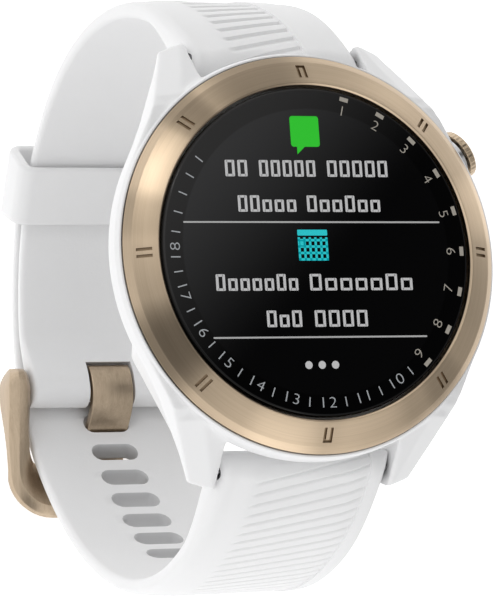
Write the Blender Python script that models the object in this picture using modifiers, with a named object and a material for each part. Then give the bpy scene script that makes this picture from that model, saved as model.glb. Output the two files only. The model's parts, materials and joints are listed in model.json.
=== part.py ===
"""Golf GPS watch on a buckled silicone strap, one object for each piece.

Frame, in metres: +Z points out of the dial, +Y to 12 o'clock and +X to 3 o'clock.
The origin is the middle of the flat outer face of the case back.
The strap is closed round a wrist: its loop is a circle in the YZ plane, below the case.
"""
from math import acos, atan2, cos, hypot, pi, radians, sin

import bmesh
import bpy
from mathutils import Matrix, Vector

MM = 0.001
GAP = 0.3 * MM  # kept between pieces that touch
FINE = 48  # sides of the large turned pieces
COARSE = 12  # sides of pins, screws and other small round pieces

# Case
CASE_RADIUS = 21.7 * MM
WALL_TOP = 8.6 * MM
WALL_LOW = 6.3 * MM
CASE_FOOT_RADIUS = 17.6 * MM
CASE_FOOT = 0.2 * MM
SHOULDER = 8.65 * MM
CAVITY_RADIUS = 17.7 * MM
CAVITY_FLOOR = 2.6 * MM
CAVITY_ROOF = 7.6 * MM
NECK_RADIUS = 17.5 * MM
NECK_TOP = 9.3 * MM
NECK_BORE = 16.2 * MM
LEDGE = 1.6 * MM
LEDGE_RADIUS = 13.4 * MM
COVER_OPENING = 16.9 * MM

# Bezel and glass
BEZEL_BORE = 17.8 * MM
BEZEL_TOP = 11.3 * MM
BEZEL_EDGE_RADIUS = 21.2 * MM
BEZEL_EDGE = 9.26 * MM
BEZEL_BAND_RADIUS = 20.5 * MM
BEZEL_BAND = 9.85 * MM
BEZEL_FOOT = 8.95 * MM
MARK_RADIUS = 19.35 * MM
MARK_SIZE = Vector((1.7, 0.32, 0.5)) * MM
MARK_SPACING = 0.72 * MM
LENS_RADIUS = 17.5 * MM
LENS_TOP = 11.1 * MM
LENS_FOOT = 10.0 * MM

# Lugs and the 20 mm gap between them
LUG_GAP = 20.0 * MM
BAR_Y = 21.8 * MM
BAR_Z = 2.6 * MM
BAR_HOLE_RADIUS = 0.5 * MM
BAR_HOLE_DEPTH = 1.3 * MM

# Button at two o'clock
BUTTON_ANGLE = radians(30)
BUTTON_Z = 6.0 * MM
CAP_SKIRT = 22.4 * MM
CAP_HOLLOW = 0.65 * MM
COLLAR_END = 22.35 * MM

# Strap loop
LOOP_Z = -19.5 * MM
LOOP_RADIUS = 30.8 * MM
STRAP_WIDTH = 19.6 * MM
STRAP_THICKNESS = 2.0 * MM
STRAP_EDGE = 0.35 * MM
STRAP_END_RADIUS = 2.0 * MM
SHORT_OUTER = 32.45 * MM
TAIL_INNER = 32.8 * MM
TAIL_THICKNESS = 1.7 * MM
TAIL_END = radians(34)
SLOT_PITCH = radians(7.45)
SLOT_SIZE = (5.6 * MM, 2.5 * MM)
FIRST_SLOT = radians(-17.7)
SLOTS_TOWARDS_LUG = 6
SLOTS_TOWARDS_TIP = 3

# Buckle and keeper
PIN_ANGLE = radians(-10.9)
PIN_ORBIT = 30.6 * MM
PIN_RADIUS = 0.75 * MM
PIN_BORE = 0.85 * MM
BARREL_RADIUS = 1.9 * MM
ARM_INNER = 10.3 * MM
ARM_OUTER = 12.7 * MM
ARM_EYE_RADIUS = 2.7 * MM
BAR_ANGLES = (radians(-24.5), radians(-34.5))
BAR_RADII = (33.95 * MM, 36.1 * MM)
TONGUE_WIDTH = 5.0 * MM
TONGUE_THICKNESS = 1.0 * MM
KEEPER_ANGLES = (radians(26), radians(39.5))
KEEPER_WINDOW = (30.45 * MM, 34.85 * MM)
KEEPER_OUTSIDE = (29.6 * MM, 35.7 * MM)
KEEPER_HALF_WINDOW = 10.2 * MM
KEEPER_HALF_WIDTH = 11.5 * MM

WHITE = (0.87, 0.88, 0.90)
GOLD = (0.56, 0.43, 0.28)
STEEL = (0.72, 0.72, 0.73)

# ---------------------------------------------------------------- scene and helpers

for old in list(bpy.data.objects):
    bpy.data.objects.remove(old, do_unlink=True)

WATCH = bpy.data.collections.new("golf_gps_watch")
CUTTERS = bpy.data.collections.new("cutters")
for group in (WATCH, CUTTERS):
    bpy.context.scene.collection.children.link(group)

MATERIALS = {}


def material(name, colour, roughness, metallic=0.0, alpha=1.0):
    """One Principled material for each name."""
    if name not in MATERIALS:
        made = bpy.data.materials.new(name)
        made.use_nodes = True
        shader = made.node_tree.nodes["Principled BSDF"]
        shader.inputs["Base Color"].default_value = (*colour, 1.0)
        shader.inputs["Roughness"].default_value = roughness
        shader.inputs["Metallic"].default_value = metallic
        shader.inputs["Alpha"].default_value = alpha
        made.diffuse_color = (*colour, alpha)
        MATERIALS[name] = made
    return MATERIALS[name]


def add(name, mesh, look=None, group=WATCH):
    """An object in its collection, or a hidden cutter when it has no look."""
    made = bpy.data.objects.new(name, mesh)
    if look is None:
        CUTTERS.objects.link(made)
        made.hide_render = True
        made.display_type = "WIRE"
    else:
        group.objects.link(made)
        mesh.materials.append(look)
    return made


def mesh_of(work, name, smooth=True):
    """Turn a bmesh into a mesh with outward faces."""
    bmesh.ops.recalc_face_normals(work, faces=work.faces)
    mesh = bpy.data.meshes.new(name)
    work.to_mesh(mesh)
    work.free()
    if smooth:
        mesh.shade_smooth()
        mesh.set_sharp_from_angle(angle=radians(35))
    return mesh


def along(axis):
    """Rotation that turns +Z to the axis."""
    return Vector(axis).to_track_quat("Z", "Y").to_euler()


def box(name, size, location, look=None, rotation=(0, 0, 0)):
    work = bmesh.new()
    bmesh.ops.create_cube(work, size=1.0)
    bmesh.ops.scale(work, vec=size, verts=work.verts)
    made = add(name, mesh_of(work, name, smooth=False), look)
    made.location = location
    made.rotation_euler = rotation
    return made


def cylinder(name, radius, length, location, axis, look=None, sides=COARSE):
    """A cylinder centred on its location."""
    work = bmesh.new()
    bmesh.ops.create_cone(
        work, cap_ends=True, segments=sides, radius1=radius, radius2=radius, depth=length
    )
    made = add(name, mesh_of(work, name), look)
    made.location = location
    made.rotation_euler = along(axis)
    return made


def turned(name, profile, look=None, sides=FINE, location=(0, 0, 0), axis=(0, 0, 1)):
    """Turn a profile of (radius, height) points about the axis.

    A profile that starts and ends on the axis makes a full solid, and any other is a closed ring.
    """
    work = bmesh.new()
    points = [work.verts.new((radius, 0, height)) for radius, height in profile]
    for start, end in zip(points, points[1:]):
        work.edges.new((start, end))
    on_axis = profile[0][0] == 0 and profile[-1][0] == 0
    if not on_axis:
        work.edges.new((points[-1], points[0]))
    mesh = bpy.data.meshes.new(name)
    work.to_mesh(mesh)
    work.free()
    made = add(name, mesh, look)
    screw = made.modifiers.new("turn", "SCREW")
    screw.axis = "Z"
    screw.angle = 2 * pi
    screw.steps = sides
    screw.render_steps = sides
    screw.use_merge_vertices = True
    screw.merge_threshold = 0.00001
    screw.use_smooth_shade = False
    made.location = location
    made.rotation_euler = along(axis)
    return made


def ring(name, inner, outer, low, high, look=None, **where):
    """A plain ring, or a disc when its inner radius is 0."""
    if inner == 0:
        profile = [(0, high), (outer, high), (outer, low), (0, low)]
    else:
        profile = [(inner, high), (outer, high), (outer, low), (inner, low)]
    return turned(name, profile, look, **where)


def torus(name, radius, thickness, look, location=(0, 0, 0), axis=(0, 0, 1), sides=24):
    """A round-section ring."""
    turns = [-2 * pi * step / 6 for step in range(6)]
    profile = [(radius + thickness * cos(turn), thickness * sin(turn)) for turn in turns]
    return turned(name, profile, look, sides, location, axis)


def prism(name, outline, low_x, high_x, look=None, edge=0.0):
    """Extrude an outline of (y, z) points along X, with its rim edges bevelled."""
    work = bmesh.new()
    face = work.faces.new([work.verts.new((low_x, y, z)) for y, z in outline])
    moved = bmesh.ops.extrude_face_region(work, geom=[face])["geom"]
    corners = [item for item in moved if isinstance(item, bmesh.types.BMVert)]
    bmesh.ops.translate(work, vec=(high_x - low_x, 0, 0), verts=corners)
    made = add(name, mesh_of(work, name), look)
    if edge:
        bevel = made.modifiers.new("edge", "BEVEL")
        bevel.width = edge
        bevel.segments = 1
        bevel.limit_method = "ANGLE"
        bevel.angle_limit = radians(50)
    return made


def loft(name, rings):
    """Close a stack of rings that have the same number of points."""
    work = bmesh.new()
    stack = [[work.verts.new(point) for point in row] for row in rings]
    count = len(rings[0])
    for row, following in zip(stack, stack[1:]):
        for index in range(count):
            ahead = (index + 1) % count
            work.faces.new((row[index], row[ahead], following[ahead], following[index]))
    work.faces.new(list(reversed(stack[0])))
    work.faces.new(stack[-1])
    return add(name, mesh_of(work, name, smooth=False))


def boolean(target, tool, operation):
    step = target.modifiers.new(f"{operation.lower()} {tool.name}", "BOOLEAN")
    step.operation = operation
    step.solver = "EXACT"
    step.object = tool


def cut(target, *tools):
    for tool in tools:
        boolean(target, tool, "DIFFERENCE")


def join(target, *tools):
    for tool in tools:
        boolean(target, tool, "UNION")


def pivot(name, location):
    """An empty on a joint's axis, which carries the pieces that move about it."""
    made = bpy.data.objects.new(name, None)
    made.empty_display_size = 3 * MM
    made.location = location
    WATCH.objects.link(made)
    return made


def hang(carrier, *pieces):
    """Parent pieces to a pivot and keep them where they are."""
    for piece in pieces:
        piece.parent = carrier
        piece.matrix_parent_inverse = Matrix.Translation(carrier.location).inverted()


def loop_point(radius, angle):
    """(y, z) of a point of the strap loop: angle 0 is its lowest point, and +90 is to 12 o'clock."""
    return (radius * sin(angle), LOOP_Z - radius * cos(angle))


def arc(radius, start, end, steps):
    """Points along the strap loop; radius is a number or a function of the angle."""
    points = []
    for step in range(steps + 1):
        angle = start + (end - start) * step / steps
        reach = radius(angle) if callable(radius) else radius
        points.append(loop_point(reach, angle))
    return points


def sector(name, radii, angles, half_width, look=None, edge=0.0, steps=6):
    """A block that follows the strap loop."""
    outline = arc(radii[0], angles[0], angles[1], steps) + arc(radii[1], angles[1], angles[0], steps)
    return prism(name, outline, -half_width, half_width, look, edge)


def ease(value, low, high):
    """Smooth step from 0 at low to 1 at high."""
    share = min(max((value - low) / (high - low), 0.0), 1.0)
    return share * share * (3 - 2 * share)


def smooth_path(points, steps):
    """Points along a Catmull-Rom curve through the given (y, z) points."""
    padded = [points[0]] + list(points) + [points[-1]]
    path = []
    for before, start, end, after in zip(padded, padded[1:], padded[2:], padded[3:]):
        for step in range(steps):
            share = step / steps
            path.append(
                tuple(
                    0.5 * (
                        2 * b
                        + (c - a) * share
                        + (2 * a - 5 * b + 4 * c - d) * share ** 2
                        + (3 * b - a - 3 * c + d) * share ** 3
                    )
                    for a, b, c, d in zip(before, start, end, after)
                )
            )
    path.append(tuple(points[-1]))
    return path


def spring(name, radius, wire, turns, length, location, axis, look):
    """A coil of round wire that starts at its location and runs along the axis."""
    per_turn = 8
    curve = bpy.data.curves.new(name, "CURVE")
    curve.dimensions = "3D"
    curve.bevel_depth = wire
    curve.bevel_resolution = 0
    curve.use_fill_caps = True
    spline = curve.splines.new("POLY")
    count = turns * per_turn
    spline.points.add(count)
    for index, point in enumerate(spline.points):
        turn = 2 * pi * index / per_turn
        rise = wire + (length - 2 * wire) * index / count
        point.co = (radius * cos(turn), radius * sin(turn), rise, 1)
    made = add(name, curve, look)
    made.location = location
    made.rotation_euler = along(axis)
    return made


# ---------------------------------------------------------------- looks

WHITE_CASE = material("white_case", WHITE, 0.35)
WHITE_STRAP = material("white_strap", WHITE, 0.5)
BRUSHED_GOLD = material("brushed_gold", GOLD, 0.28, 1.0)
BRIGHT_STEEL = material("bright_steel", STEEL, 0.2, 1.0)
BLACK_GLASS = material("black_glass", (0.01, 0.01, 0.012), 0.05)
SCREEN = material("screen", (0.02, 0.02, 0.025), 0.2)
BLACK_RUBBER = material("black_rubber", (0.03, 0.03, 0.03), 0.7)
GREY_PLASTIC = material("grey_plastic", (0.25, 0.25, 0.26), 0.5)
BOARD_GREEN = material("board_green", (0.02, 0.16, 0.08), 0.45)
CELL_SILVER = material("cell_silver", (0.55, 0.56, 0.58), 0.35, 0.8)
CONTACT_GOLD = material("contact_gold", (0.83, 0.61, 0.26), 0.25, 1.0)


# ---------------------------------------------------------------- case

def lug_sections():
    """Rings of a lug at +X, +Y: inner foot, inner top, ridge, outer top, outer low, outer foot."""
    inner = LUG_GAP / 2
    rows = []
    for y in (9.5 * MM, 14.5 * MM, 17.2 * MM, 20.0 * MM):
        outer = 12.7 * MM + (23.1 * MM - y) * 0.5
        ridge = min(13.7 * MM - (y - 16.1 * MM) * 0.45, outer - 1.5 * MM)
        slope_top = min(9.1 * MM - (y - 16.6 * MM) * 0.833, WALL_TOP)
        outer_top = min(4.95 * MM - (y - 20.04 * MM) * 0.8, WALL_TOP)
        outer_low = min(2.5 * MM + (23.1 * MM - y) * 0.42, 6.6 * MM)
        rows.append([
            (inner, y, 0.6 * MM),
            (inner, y, slope_top),
            (ridge, y, slope_top - 0.02 * MM),
            (outer, y, min(outer_top, slope_top - 0.04 * MM)),
            (outer, y, min(outer_low, outer_top - 0.5 * MM)),
            (outer - 2.0 * MM, y, 0.6 * MM),
        ])
    tip = [
        (10.0, 23.2, 0.4),
        (10.0, 24.0, 2.75),
        (10.45, 23.8, 3.1),
        (12.7, 23.1, 2.4),
        (12.65, 22.95, 1.7),
        (11.5, 22.4, 0.4),
    ]
    rows.append([tuple(value * MM for value in point) for point in tip])
    return rows


def make_case():
    lip = CASE_RADIUS - 0.3 * MM
    outside = [
        (0, NECK_TOP),
        (NECK_RADIUS, NECK_TOP),
        (NECK_RADIUS, SHOULDER),
        (lip, SHOULDER),
        (lip, SHOULDER + 0.2 * MM),
        (CASE_RADIUS - 0.15 * MM, SHOULDER + 0.2 * MM),
        (CASE_RADIUS, WALL_TOP),
        (CASE_RADIUS, WALL_LOW),
        (20.6 * MM, 5.3 * MM),
        (19.3 * MM, 4.0 * MM),
        (18.5 * MM, 2.4 * MM),
        (17.9 * MM, 0.9 * MM),
        (CASE_FOOT_RADIUS, CASE_FOOT),
        (0, CASE_FOOT),
    ]
    case = turned("case_body", outside, WHITE_CASE)
    for side in (1, -1):
        for end in (1, -1):
            rows = [[(side * x, end * y, z) for x, y, z in row] for row in lug_sections()]
            join(case, loft(f"lug_{side}_{end}", rows))
    inside = turned("inside", [
        (0, 12 * MM),
        (NECK_BORE, 12 * MM),
        (NECK_BORE, CAVITY_ROOF),
        (CAVITY_RADIUS, CAVITY_ROOF),
        (CAVITY_RADIUS, CAVITY_FLOOR),
        (LEDGE_RADIUS, CAVITY_FLOOR),
        (LEDGE_RADIUS, LEDGE),
        (COVER_OPENING, LEDGE),
        (COVER_OPENING, -1 * MM),
        (0, -1 * MM),
    ])
    groove = ring("antenna_groove", 19.0 * MM, 20.4 * MM, SHOULDER - 1.0 * MM, 12 * MM)
    cut(case, inside, groove)
    for side in (1, -1):
        for end in (1, -1):
            hole = cylinder(
                f"bar_hole_{side}_{end}",
                BAR_HOLE_RADIUS,
                2 * BAR_HOLE_DEPTH,
                (side * LUG_GAP / 2, end * BAR_Y, BAR_Z),
                (1, 0, 0),
            )
            cut(case, hole)
    for index, (x, y) in enumerate(SCREW_PLACES):
        cut(case, cylinder(f"screw_thread_{index}", 0.7 * MM, 2.4 * MM, (x, y, 2.0 * MM), (0, 0, 1)))
    stem_bore = radial_cylinder("stem_bore", 1.2 * MM, 17 * MM, 23 * MM)
    bush_bore = radial_cylinder("bush_bore", 2.45 * MM, 19.6 * MM, 23 * MM, sides=24)
    cut(case, stem_bore, bush_bore)
    return case


def radial(distance, height=BUTTON_Z):
    """A point on the button's axis."""
    return (distance * cos(BUTTON_ANGLE), distance * sin(BUTTON_ANGLE), height)


BUTTON_AXIS = (cos(BUTTON_ANGLE), sin(BUTTON_ANGLE), 0)


def radial_cylinder(name, radius, start, end, sides=COARSE):
    return cylinder(name, radius, end - start, radial((start + end) / 2), BUTTON_AXIS, None, sides)


SCREW_ORBIT = 14.7 * MM
SCREW_PLACES = [
    (SCREW_ORBIT * cos(radians(turn)), SCREW_ORBIT * sin(radians(turn)))
    for turn in (38, 142, 218, 322)
]
PORT_Y = -9.0 * MM
CONTACT_X = [1.8 * MM * (index - 1.5) for index in range(4)]


def make_back():
    """Back cover with a charging port, its gasket, screws and contacts."""
    cover = turned("back_cover", [
        (0, 1.3 * MM),
        (15.85 * MM, 1.3 * MM),
        (15.85 * MM, 0.85 * MM),
        (16.45 * MM, 0.85 * MM),
        (16.45 * MM, 1.3 * MM),
        (16.75 * MM, 1.3 * MM),
        (16.75 * MM, 0.3 * MM),
        (16.45 * MM, 0),
        (0, 0),
    ], WHITE_CASE)
    cut(cover, box("port", (8.0 * MM, 2.6 * MM, 1.2 * MM), (0, PORT_Y, 0)))
    torus("back_gasket", 16.15 * MM, 0.22 * MM, BLACK_RUBBER, (0, 0, 1.2 * MM), sides=FINE)
    for index, (x, y) in enumerate(SCREW_PLACES, 1):
        head_room = cylinder(f"screw_seat_{index}", 1.0 * MM, 1.2 * MM, (x, y, 0), (0, 0, 1))
        clearance = cylinder(f"screw_way_{index}", 0.7 * MM, 4 * MM, (x, y, 0), (0, 0, 1))
        cut(cover, head_room, clearance)
        turned(f"back_screw_{index}", [
            (0, 2.9 * MM),
            (0.55 * MM, 2.9 * MM),
            (0.55 * MM, 0.5 * MM),
            (0.88 * MM, 0.5 * MM),
            (0.88 * MM, 0.1 * MM),
            (0.35 * MM, 0.1 * MM),
            (0.35 * MM, 0.3 * MM),
            (0, 0.3 * MM),
        ], BRIGHT_STEEL, sides=12, location=(x, y, 0.08 * MM))
    for index, x in enumerate(CONTACT_X, 1):
        cut(cover, cylinder(f"contact_way_{index}", 0.55 * MM, 6 * MM, (x, PORT_Y, 0), (0, 0, 1)))
        turned(f"charge_contact_{index}", [
            (0, 1.75 * MM),
            (0.75 * MM, 1.75 * MM),
            (0.75 * MM, 1.45 * MM),
            (0.45 * MM, 1.45 * MM),
            (0.45 * MM, 0.35 * MM),
            (0, 0.35 * MM),
        ], CONTACT_GOLD, sides=12, location=(x, PORT_Y, 0))


# ---------------------------------------------------------------- bezel and dial

def mark_tool(name, turn, across, along_radius, size):
    """A groove cutter on the bezel's slope: across and along are offsets from the mark's middle."""
    drop = MARK_RADIUS - 18.0 * MM
    slope = atan2(BEZEL_TOP - BEZEL_BAND, BEZEL_BAND_RADIUS - 18.0 * MM)
    height = BEZEL_TOP - drop * sin(slope) / cos(slope)
    turned_place = Matrix.Rotation(turn, 4, "Z") @ Matrix.Translation((MARK_RADIUS, 0, height))
    tilted = turned_place @ Matrix.Rotation(slope, 4, "Y")
    tool = box(name, size, (0, 0, 0))
    placed = tilted @ Matrix.Translation((along_radius, across, 0))
    tool.location = placed.translation
    tool.rotation_euler = placed.to_euler()
    return tool


def make_bezel():
    bezel = turned("bezel_ring", [
        (BEZEL_BORE, BEZEL_TOP - 0.2 * MM),
        (BEZEL_BORE + 0.2 * MM, BEZEL_TOP),
        (BEZEL_BAND_RADIUS, BEZEL_BAND),
        (BEZEL_EDGE_RADIUS, BEZEL_EDGE),
        (BEZEL_EDGE_RADIUS, BEZEL_FOOT),
        (BEZEL_BORE, BEZEL_FOOT),
    ], BRUSHED_GOLD, sides=50)
    for index in range(8):
        turn = radians(45 * index)
        for side in (1, -1):
            tool = mark_tool(f"mark_{index}_{side}", turn, side * MARK_SPACING / 2, 0, MARK_SIZE)
            cut(bezel, tool)
    bar_size = (MARK_SIZE.y, MARK_SPACING, MARK_SIZE.z * 0.9)
    bar_place = (MARK_SIZE.x - MARK_SIZE.y) / 2 - 0.03 * MM
    cut(bezel, mark_tool("mark_bar_12", radians(90), 0, bar_place, bar_size))
    cut(bezel, mark_tool("mark_bar_6", radians(270), 0, bar_place, bar_size))


def make_dial():
    """Glass, its gasket, the screen and the antenna."""
    turned("cover_lens", [
        (0, LENS_TOP),
        (LENS_RADIUS - 0.25 * MM, LENS_TOP),
        (LENS_RADIUS, LENS_TOP - 0.25 * MM),
        (LENS_RADIUS, LENS_FOOT),
        (0, LENS_FOOT),
    ], BLACK_GLASS)
    ring("lens_gasket", 16.4 * MM, 17.3 * MM, 9.5 * MM, 9.8 * MM, BLACK_RUBBER, sides=32)
    ring("display_module", 0, 15.8 * MM, 8.1 * MM, 9.7 * MM, SCREEN)
    antenna = ring("antenna_ring", 19.3 * MM, 20.1 * MM, 7.95 * MM, 8.4 * MM, CONTACT_GOLD, sides=36)
    gap_size = (4 * MM, 6 * MM, 4 * MM)
    cut(antenna, box("antenna_gap", gap_size, radial(19.7 * MM, 8 * MM), None, (0, 0, BUTTON_ANGLE)))


# ---------------------------------------------------------------- inside the case

BATTERY_SIZE = (18.0 * MM, 16.0 * MM, 3.3 * MM)
BATTERY_PLACE = (0, -1.0 * MM, 3.7 * MM)
MOTOR_PLACE = (-13.7 * MM, 0.5 * MM, 4.4 * MM)


def make_inside():
    carrier = ring("inner_carrier", 0, 17.2 * MM, 5.6 * MM, 6.1 * MM, GREY_PLASTIC)
    x, y, z = BATTERY_PLACE
    wall_outer = (BATTERY_SIZE[0] + 2.2 * MM, BATTERY_SIZE[1] + 2.2 * MM, 2.9 * MM)
    wall_inner = (BATTERY_SIZE[0] + 0.6 * MM, BATTERY_SIZE[1] + 0.6 * MM, 5.0 * MM)
    join(carrier, box("tray_outer", wall_outer, (x, y, 4.3 * MM)))
    cut(carrier, box("tray_inner", wall_inner, (x, y, 3.0 * MM)))
    motor_way = cylinder("motor_way", 3.45 * MM, 4 * MM, (MOTOR_PLACE[0], MOTOR_PLACE[1], 6 * MM), (0, 0, 1))
    switch_way = box("switch_way", (6.4 * MM, 6.2 * MM, 8 * MM), radial(14.2 * MM), None, (0, 0, BUTTON_ANGLE))
    cut(carrier, motor_way, switch_way)

    cell = box("battery", BATTERY_SIZE, BATTERY_PLACE, CELL_SILVER)
    bevel = cell.modifiers.new("edge", "BEVEL")
    bevel.width = 0.6 * MM
    bevel.segments = 2

    cylinder("vibration_motor", 3.1 * MM, 2.4 * MM, MOTOR_PLACE, (0, 0, 1), CELL_SILVER, sides=24)

    board = ring("main_board", 0, 16.9 * MM, 6.4 * MM, 7.0 * MM, BOARD_GREEN)
    cut(board, switch_way)
    box("gps_receiver", (9 * MM, 7 * MM, 0.7 * MM), (-2 * MM, 9 * MM, 7.45 * MM), CELL_SILVER)


# ---------------------------------------------------------------- button

def make_button():
    carrier = pivot("button_press", radial(CAP_SKIRT))
    cap = turned("button_cap", [
        (0, 1.0 * MM),
        (2.4 * MM, 1.0 * MM),
        (2.7 * MM, 0.75 * MM),
        (2.7 * MM, 0),
        (2.48 * MM, 0),
        (2.48 * MM, CAP_HOLLOW),
        (0, CAP_HOLLOW),
    ], BRUSHED_GOLD, sides=24, location=radial(CAP_SKIRT), axis=BUTTON_AXIS)
    stem_end = CAP_SKIRT + CAP_HOLLOW - 0.05 * MM
    stem = turned("button_stem", [
        (0, stem_end),
        (0.8 * MM, stem_end),
        (0.8 * MM, 19.0 * MM),
        (0.6 * MM, 19.0 * MM),
        (0.6 * MM, 18.4 * MM),
        (0.8 * MM, 18.4 * MM),
        (0.8 * MM, 17.55 * MM),
        (0.55 * MM, 17.55 * MM),
        (0.55 * MM, 17.15 * MM),
        (0.8 * MM, 17.15 * MM),
        (0.8 * MM, 16.3 * MM),
        (0, 16.3 * MM),
    ], BRIGHT_STEEL, sides=COARSE, location=radial(0), axis=BUTTON_AXIS)
    seal = torus(
        "button_seal", 0.9 * MM, 0.22 * MM, BLACK_RUBBER, radial(18.7 * MM), BUTTON_AXIS, COARSE
    )
    clip = ring(
        "button_clip", 0.65 * MM, 1.5 * MM, 17.22 * MM, 17.48 * MM, BRIGHT_STEEL,
        sides=COARSE, location=radial(0), axis=BUTTON_AXIS,
    )
    cut(clip, box("clip_mouth", (3 * MM, 0.9 * MM, 3 * MM), radial(17.35 * MM, BUTTON_Z - 1.5 * MM),
                  None, (0, 0, BUTTON_ANGLE)))
    turned("button_collar", [
        (1.75 * MM, COLLAR_END),
        (2.2 * MM, COLLAR_END),
        (2.35 * MM, COLLAR_END - 0.15 * MM),
        (2.35 * MM, 19.75 * MM),
        (0.95 * MM, 19.75 * MM),
        (0.95 * MM, 20.4 * MM),
        (1.75 * MM, 20.4 * MM),
    ], BRIGHT_STEEL, sides=24, location=radial(0), axis=BUTTON_AXIS)
    coil = spring(
        "button_spring", 1.28 * MM, 0.16 * MM, 4, 2.45 * MM, radial(20.45 * MM), BUTTON_AXIS, BRIGHT_STEEL
    )
    switch = box("tactile_switch", (3.0 * MM, 4.4 * MM, 3.0 * MM), radial(13.6 * MM), GREY_PLASTIC,
                 (0, 0, BUTTON_ANGLE))
    join(switch, radial_cylinder("switch_plunger", 0.7 * MM, 14.5 * MM, 15.75 * MM))
    hang(carrier, cap, stem, seal, clip, coil)


# ---------------------------------------------------------------- straps

BAR_ORBIT = hypot(BAR_Y, BAR_Z - LOOP_Z)
BAR_ANGLE = pi - acos((BAR_Z - LOOP_Z) / BAR_ORBIT)
END_INNER = BAR_ORBIT - STRAP_END_RADIUS
END_OUTER = BAR_ORBIT + STRAP_END_RADIUS
LUG_BLEND = (radians(112), radians(131))


def round_end(orbit, angle, radius, facing, steps):
    """Half a circle that caps a strap, from its inner side to its outer side.

    facing is 1 for an end towards larger angles and -1 for one towards smaller angles.
    """
    middle = loop_point(orbit, angle)
    inward = (-sin(angle), cos(angle))
    forward = (facing * cos(angle), facing * sin(angle))
    points = []
    for step in range(steps + 1):
        turn = pi * step / steps
        points.append(tuple(
            middle[axis] + radius * (inward[axis] * cos(turn) + forward[axis] * sin(turn))
            for axis in (0, 1)
        ))
    return points


def short_inner(angle):
    """Inner radius of the short strap: thicker at the lug and round the buckle pin."""
    at_lug = ease(angle, *LUG_BLEND) * (LOOP_RADIUS - END_INNER)
    at_barrel = (1 - ease(angle, radians(-9), radians(3))) * (LOOP_RADIUS - PIN_ORBIT + BARREL_RADIUS)
    return LOOP_RADIUS - at_lug - at_barrel


def short_outer(angle):
    body = SHORT_OUTER + ease(angle, radians(45), radians(62)) * (LOOP_RADIUS + STRAP_THICKNESS - SHORT_OUTER)
    return body + ease(angle, *LUG_BLEND) * (END_OUTER - LOOP_RADIUS - STRAP_THICKNESS)


def long_inner(angle):
    """Inner radius of the long strap, which steps out to become the tail over the buckle."""
    away = -angle
    at_lug = ease(away, *LUG_BLEND) * (LOOP_RADIUS - END_INNER)
    flat = ease(-away, radians(-100), radians(-60)) * 0.7 * MM
    rise = min(max((angle - radians(-56)) / radians(48), 0.0), 1.0) ** 1.4
    step_out = ease(rise, 0, 1) * (TAIL_INNER - LOOP_RADIUS + 0.7 * MM)
    return LOOP_RADIUS - at_lug - flat + step_out


def long_outer(angle):
    away = -angle
    taper = ease(angle, radians(-45), radians(-15)) * (STRAP_THICKNESS - TAIL_THICKNESS)
    at_lug = ease(away, *LUG_BLEND) * (END_OUTER - END_INNER - STRAP_THICKNESS)
    return long_inner(angle) + STRAP_THICKNESS - taper + at_lug


def bar_point(end, inward):
    """Centre of a spring bar's axis, moved towards the wrist; end is 1 at 12 o'clock, -1 at 6."""
    away = Vector((0, end * BAR_Y, BAR_Z - LOOP_Z)).normalized()
    return Vector((0, end * BAR_Y, BAR_Z)) - away * inward


def bar_bore(strap, prefix, end):
    """Bore for the spring bar and a window for its release knob."""
    middle = bar_point(end, 0)
    cut(strap, cylinder(f"{prefix}_bore", 1.05 * MM, 30 * MM, middle, (1, 0, 0)))
    tilt = end * atan2(BAR_Y, BAR_Z - LOOP_Z)
    window = box(f"{prefix}_window", (3.6 * MM, 1.6 * MM, 4.0 * MM), bar_point(end, 2.2 * MM),
                 None, (-tilt, 0, 0))
    window.location.x = 6.35 * MM
    cut(strap, window)


def make_spring_bar(prefix, end):
    """Quick-release bar: tube, fixed tip, sliding tip with its knob, and the spring between them."""
    middle = bar_point(end, 0)
    tilt = end * atan2(BAR_Y, BAR_Z - LOOP_Z)
    tube = turned(f"{prefix}_tube", [
        (0.62 * MM, 8.3 * MM),
        (0.9 * MM, 8.3 * MM),
        (0.9 * MM, -9.3 * MM),
        (0.62 * MM, -9.3 * MM),
    ], BRIGHT_STEEL, sides=COARSE, location=middle, axis=(1, 0, 0))
    slot = box(f"{prefix}_slot", (2.6 * MM, 1.0 * MM, 1.2 * MM), bar_point(end, 0.7 * MM), None, (-tilt, 0, 0))
    slot.location.x = 6.35 * MM
    cut(tube, slot)
    fixed = turned(f"{prefix}_fixed_tip", [
        (0, 0.2 * MM),
        (0.5 * MM, 0.2 * MM),
        (0.5 * MM, -9.45 * MM),
        (0.4 * MM, -9.45 * MM),
        (0.4 * MM, -11.1 * MM),
        (0, -11.1 * MM),
    ], BRIGHT_STEEL, sides=COARSE, location=middle, axis=(1, 0, 0))
    sliding = turned(f"{prefix}_sliding_tip", [
        (0, 11.1 * MM),
        (0.4 * MM, 11.1 * MM),
        (0.4 * MM, 9.2 * MM),
        (0.5 * MM, 9.2 * MM),
        (0.5 * MM, 5.6 * MM),
        (0, 5.6 * MM),
    ], BRIGHT_STEEL, sides=COARSE, location=middle, axis=(1, 0, 0))
    knob = cylinder(f"{prefix}_knob", 0.38 * MM, 2.4 * MM, bar_point(end, 1.3 * MM),
                    bar_point(end, 1) - bar_point(end, 0), None, 12)
    knob.location.x = 7.0 * MM
    join(sliding, knob)
    coil = spring(f"{prefix}_spring", 0.38 * MM, 0.09 * MM, 5, 5.1 * MM,
                  middle + Vector((0.35 * MM, 0, 0)), (1, 0, 0), BRIGHT_STEEL)
    release = pivot(f"{prefix}_release", middle + Vector((7.0 * MM, 0, 0)))
    hang(release, sliding)
    return tube, fixed, coil


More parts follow.
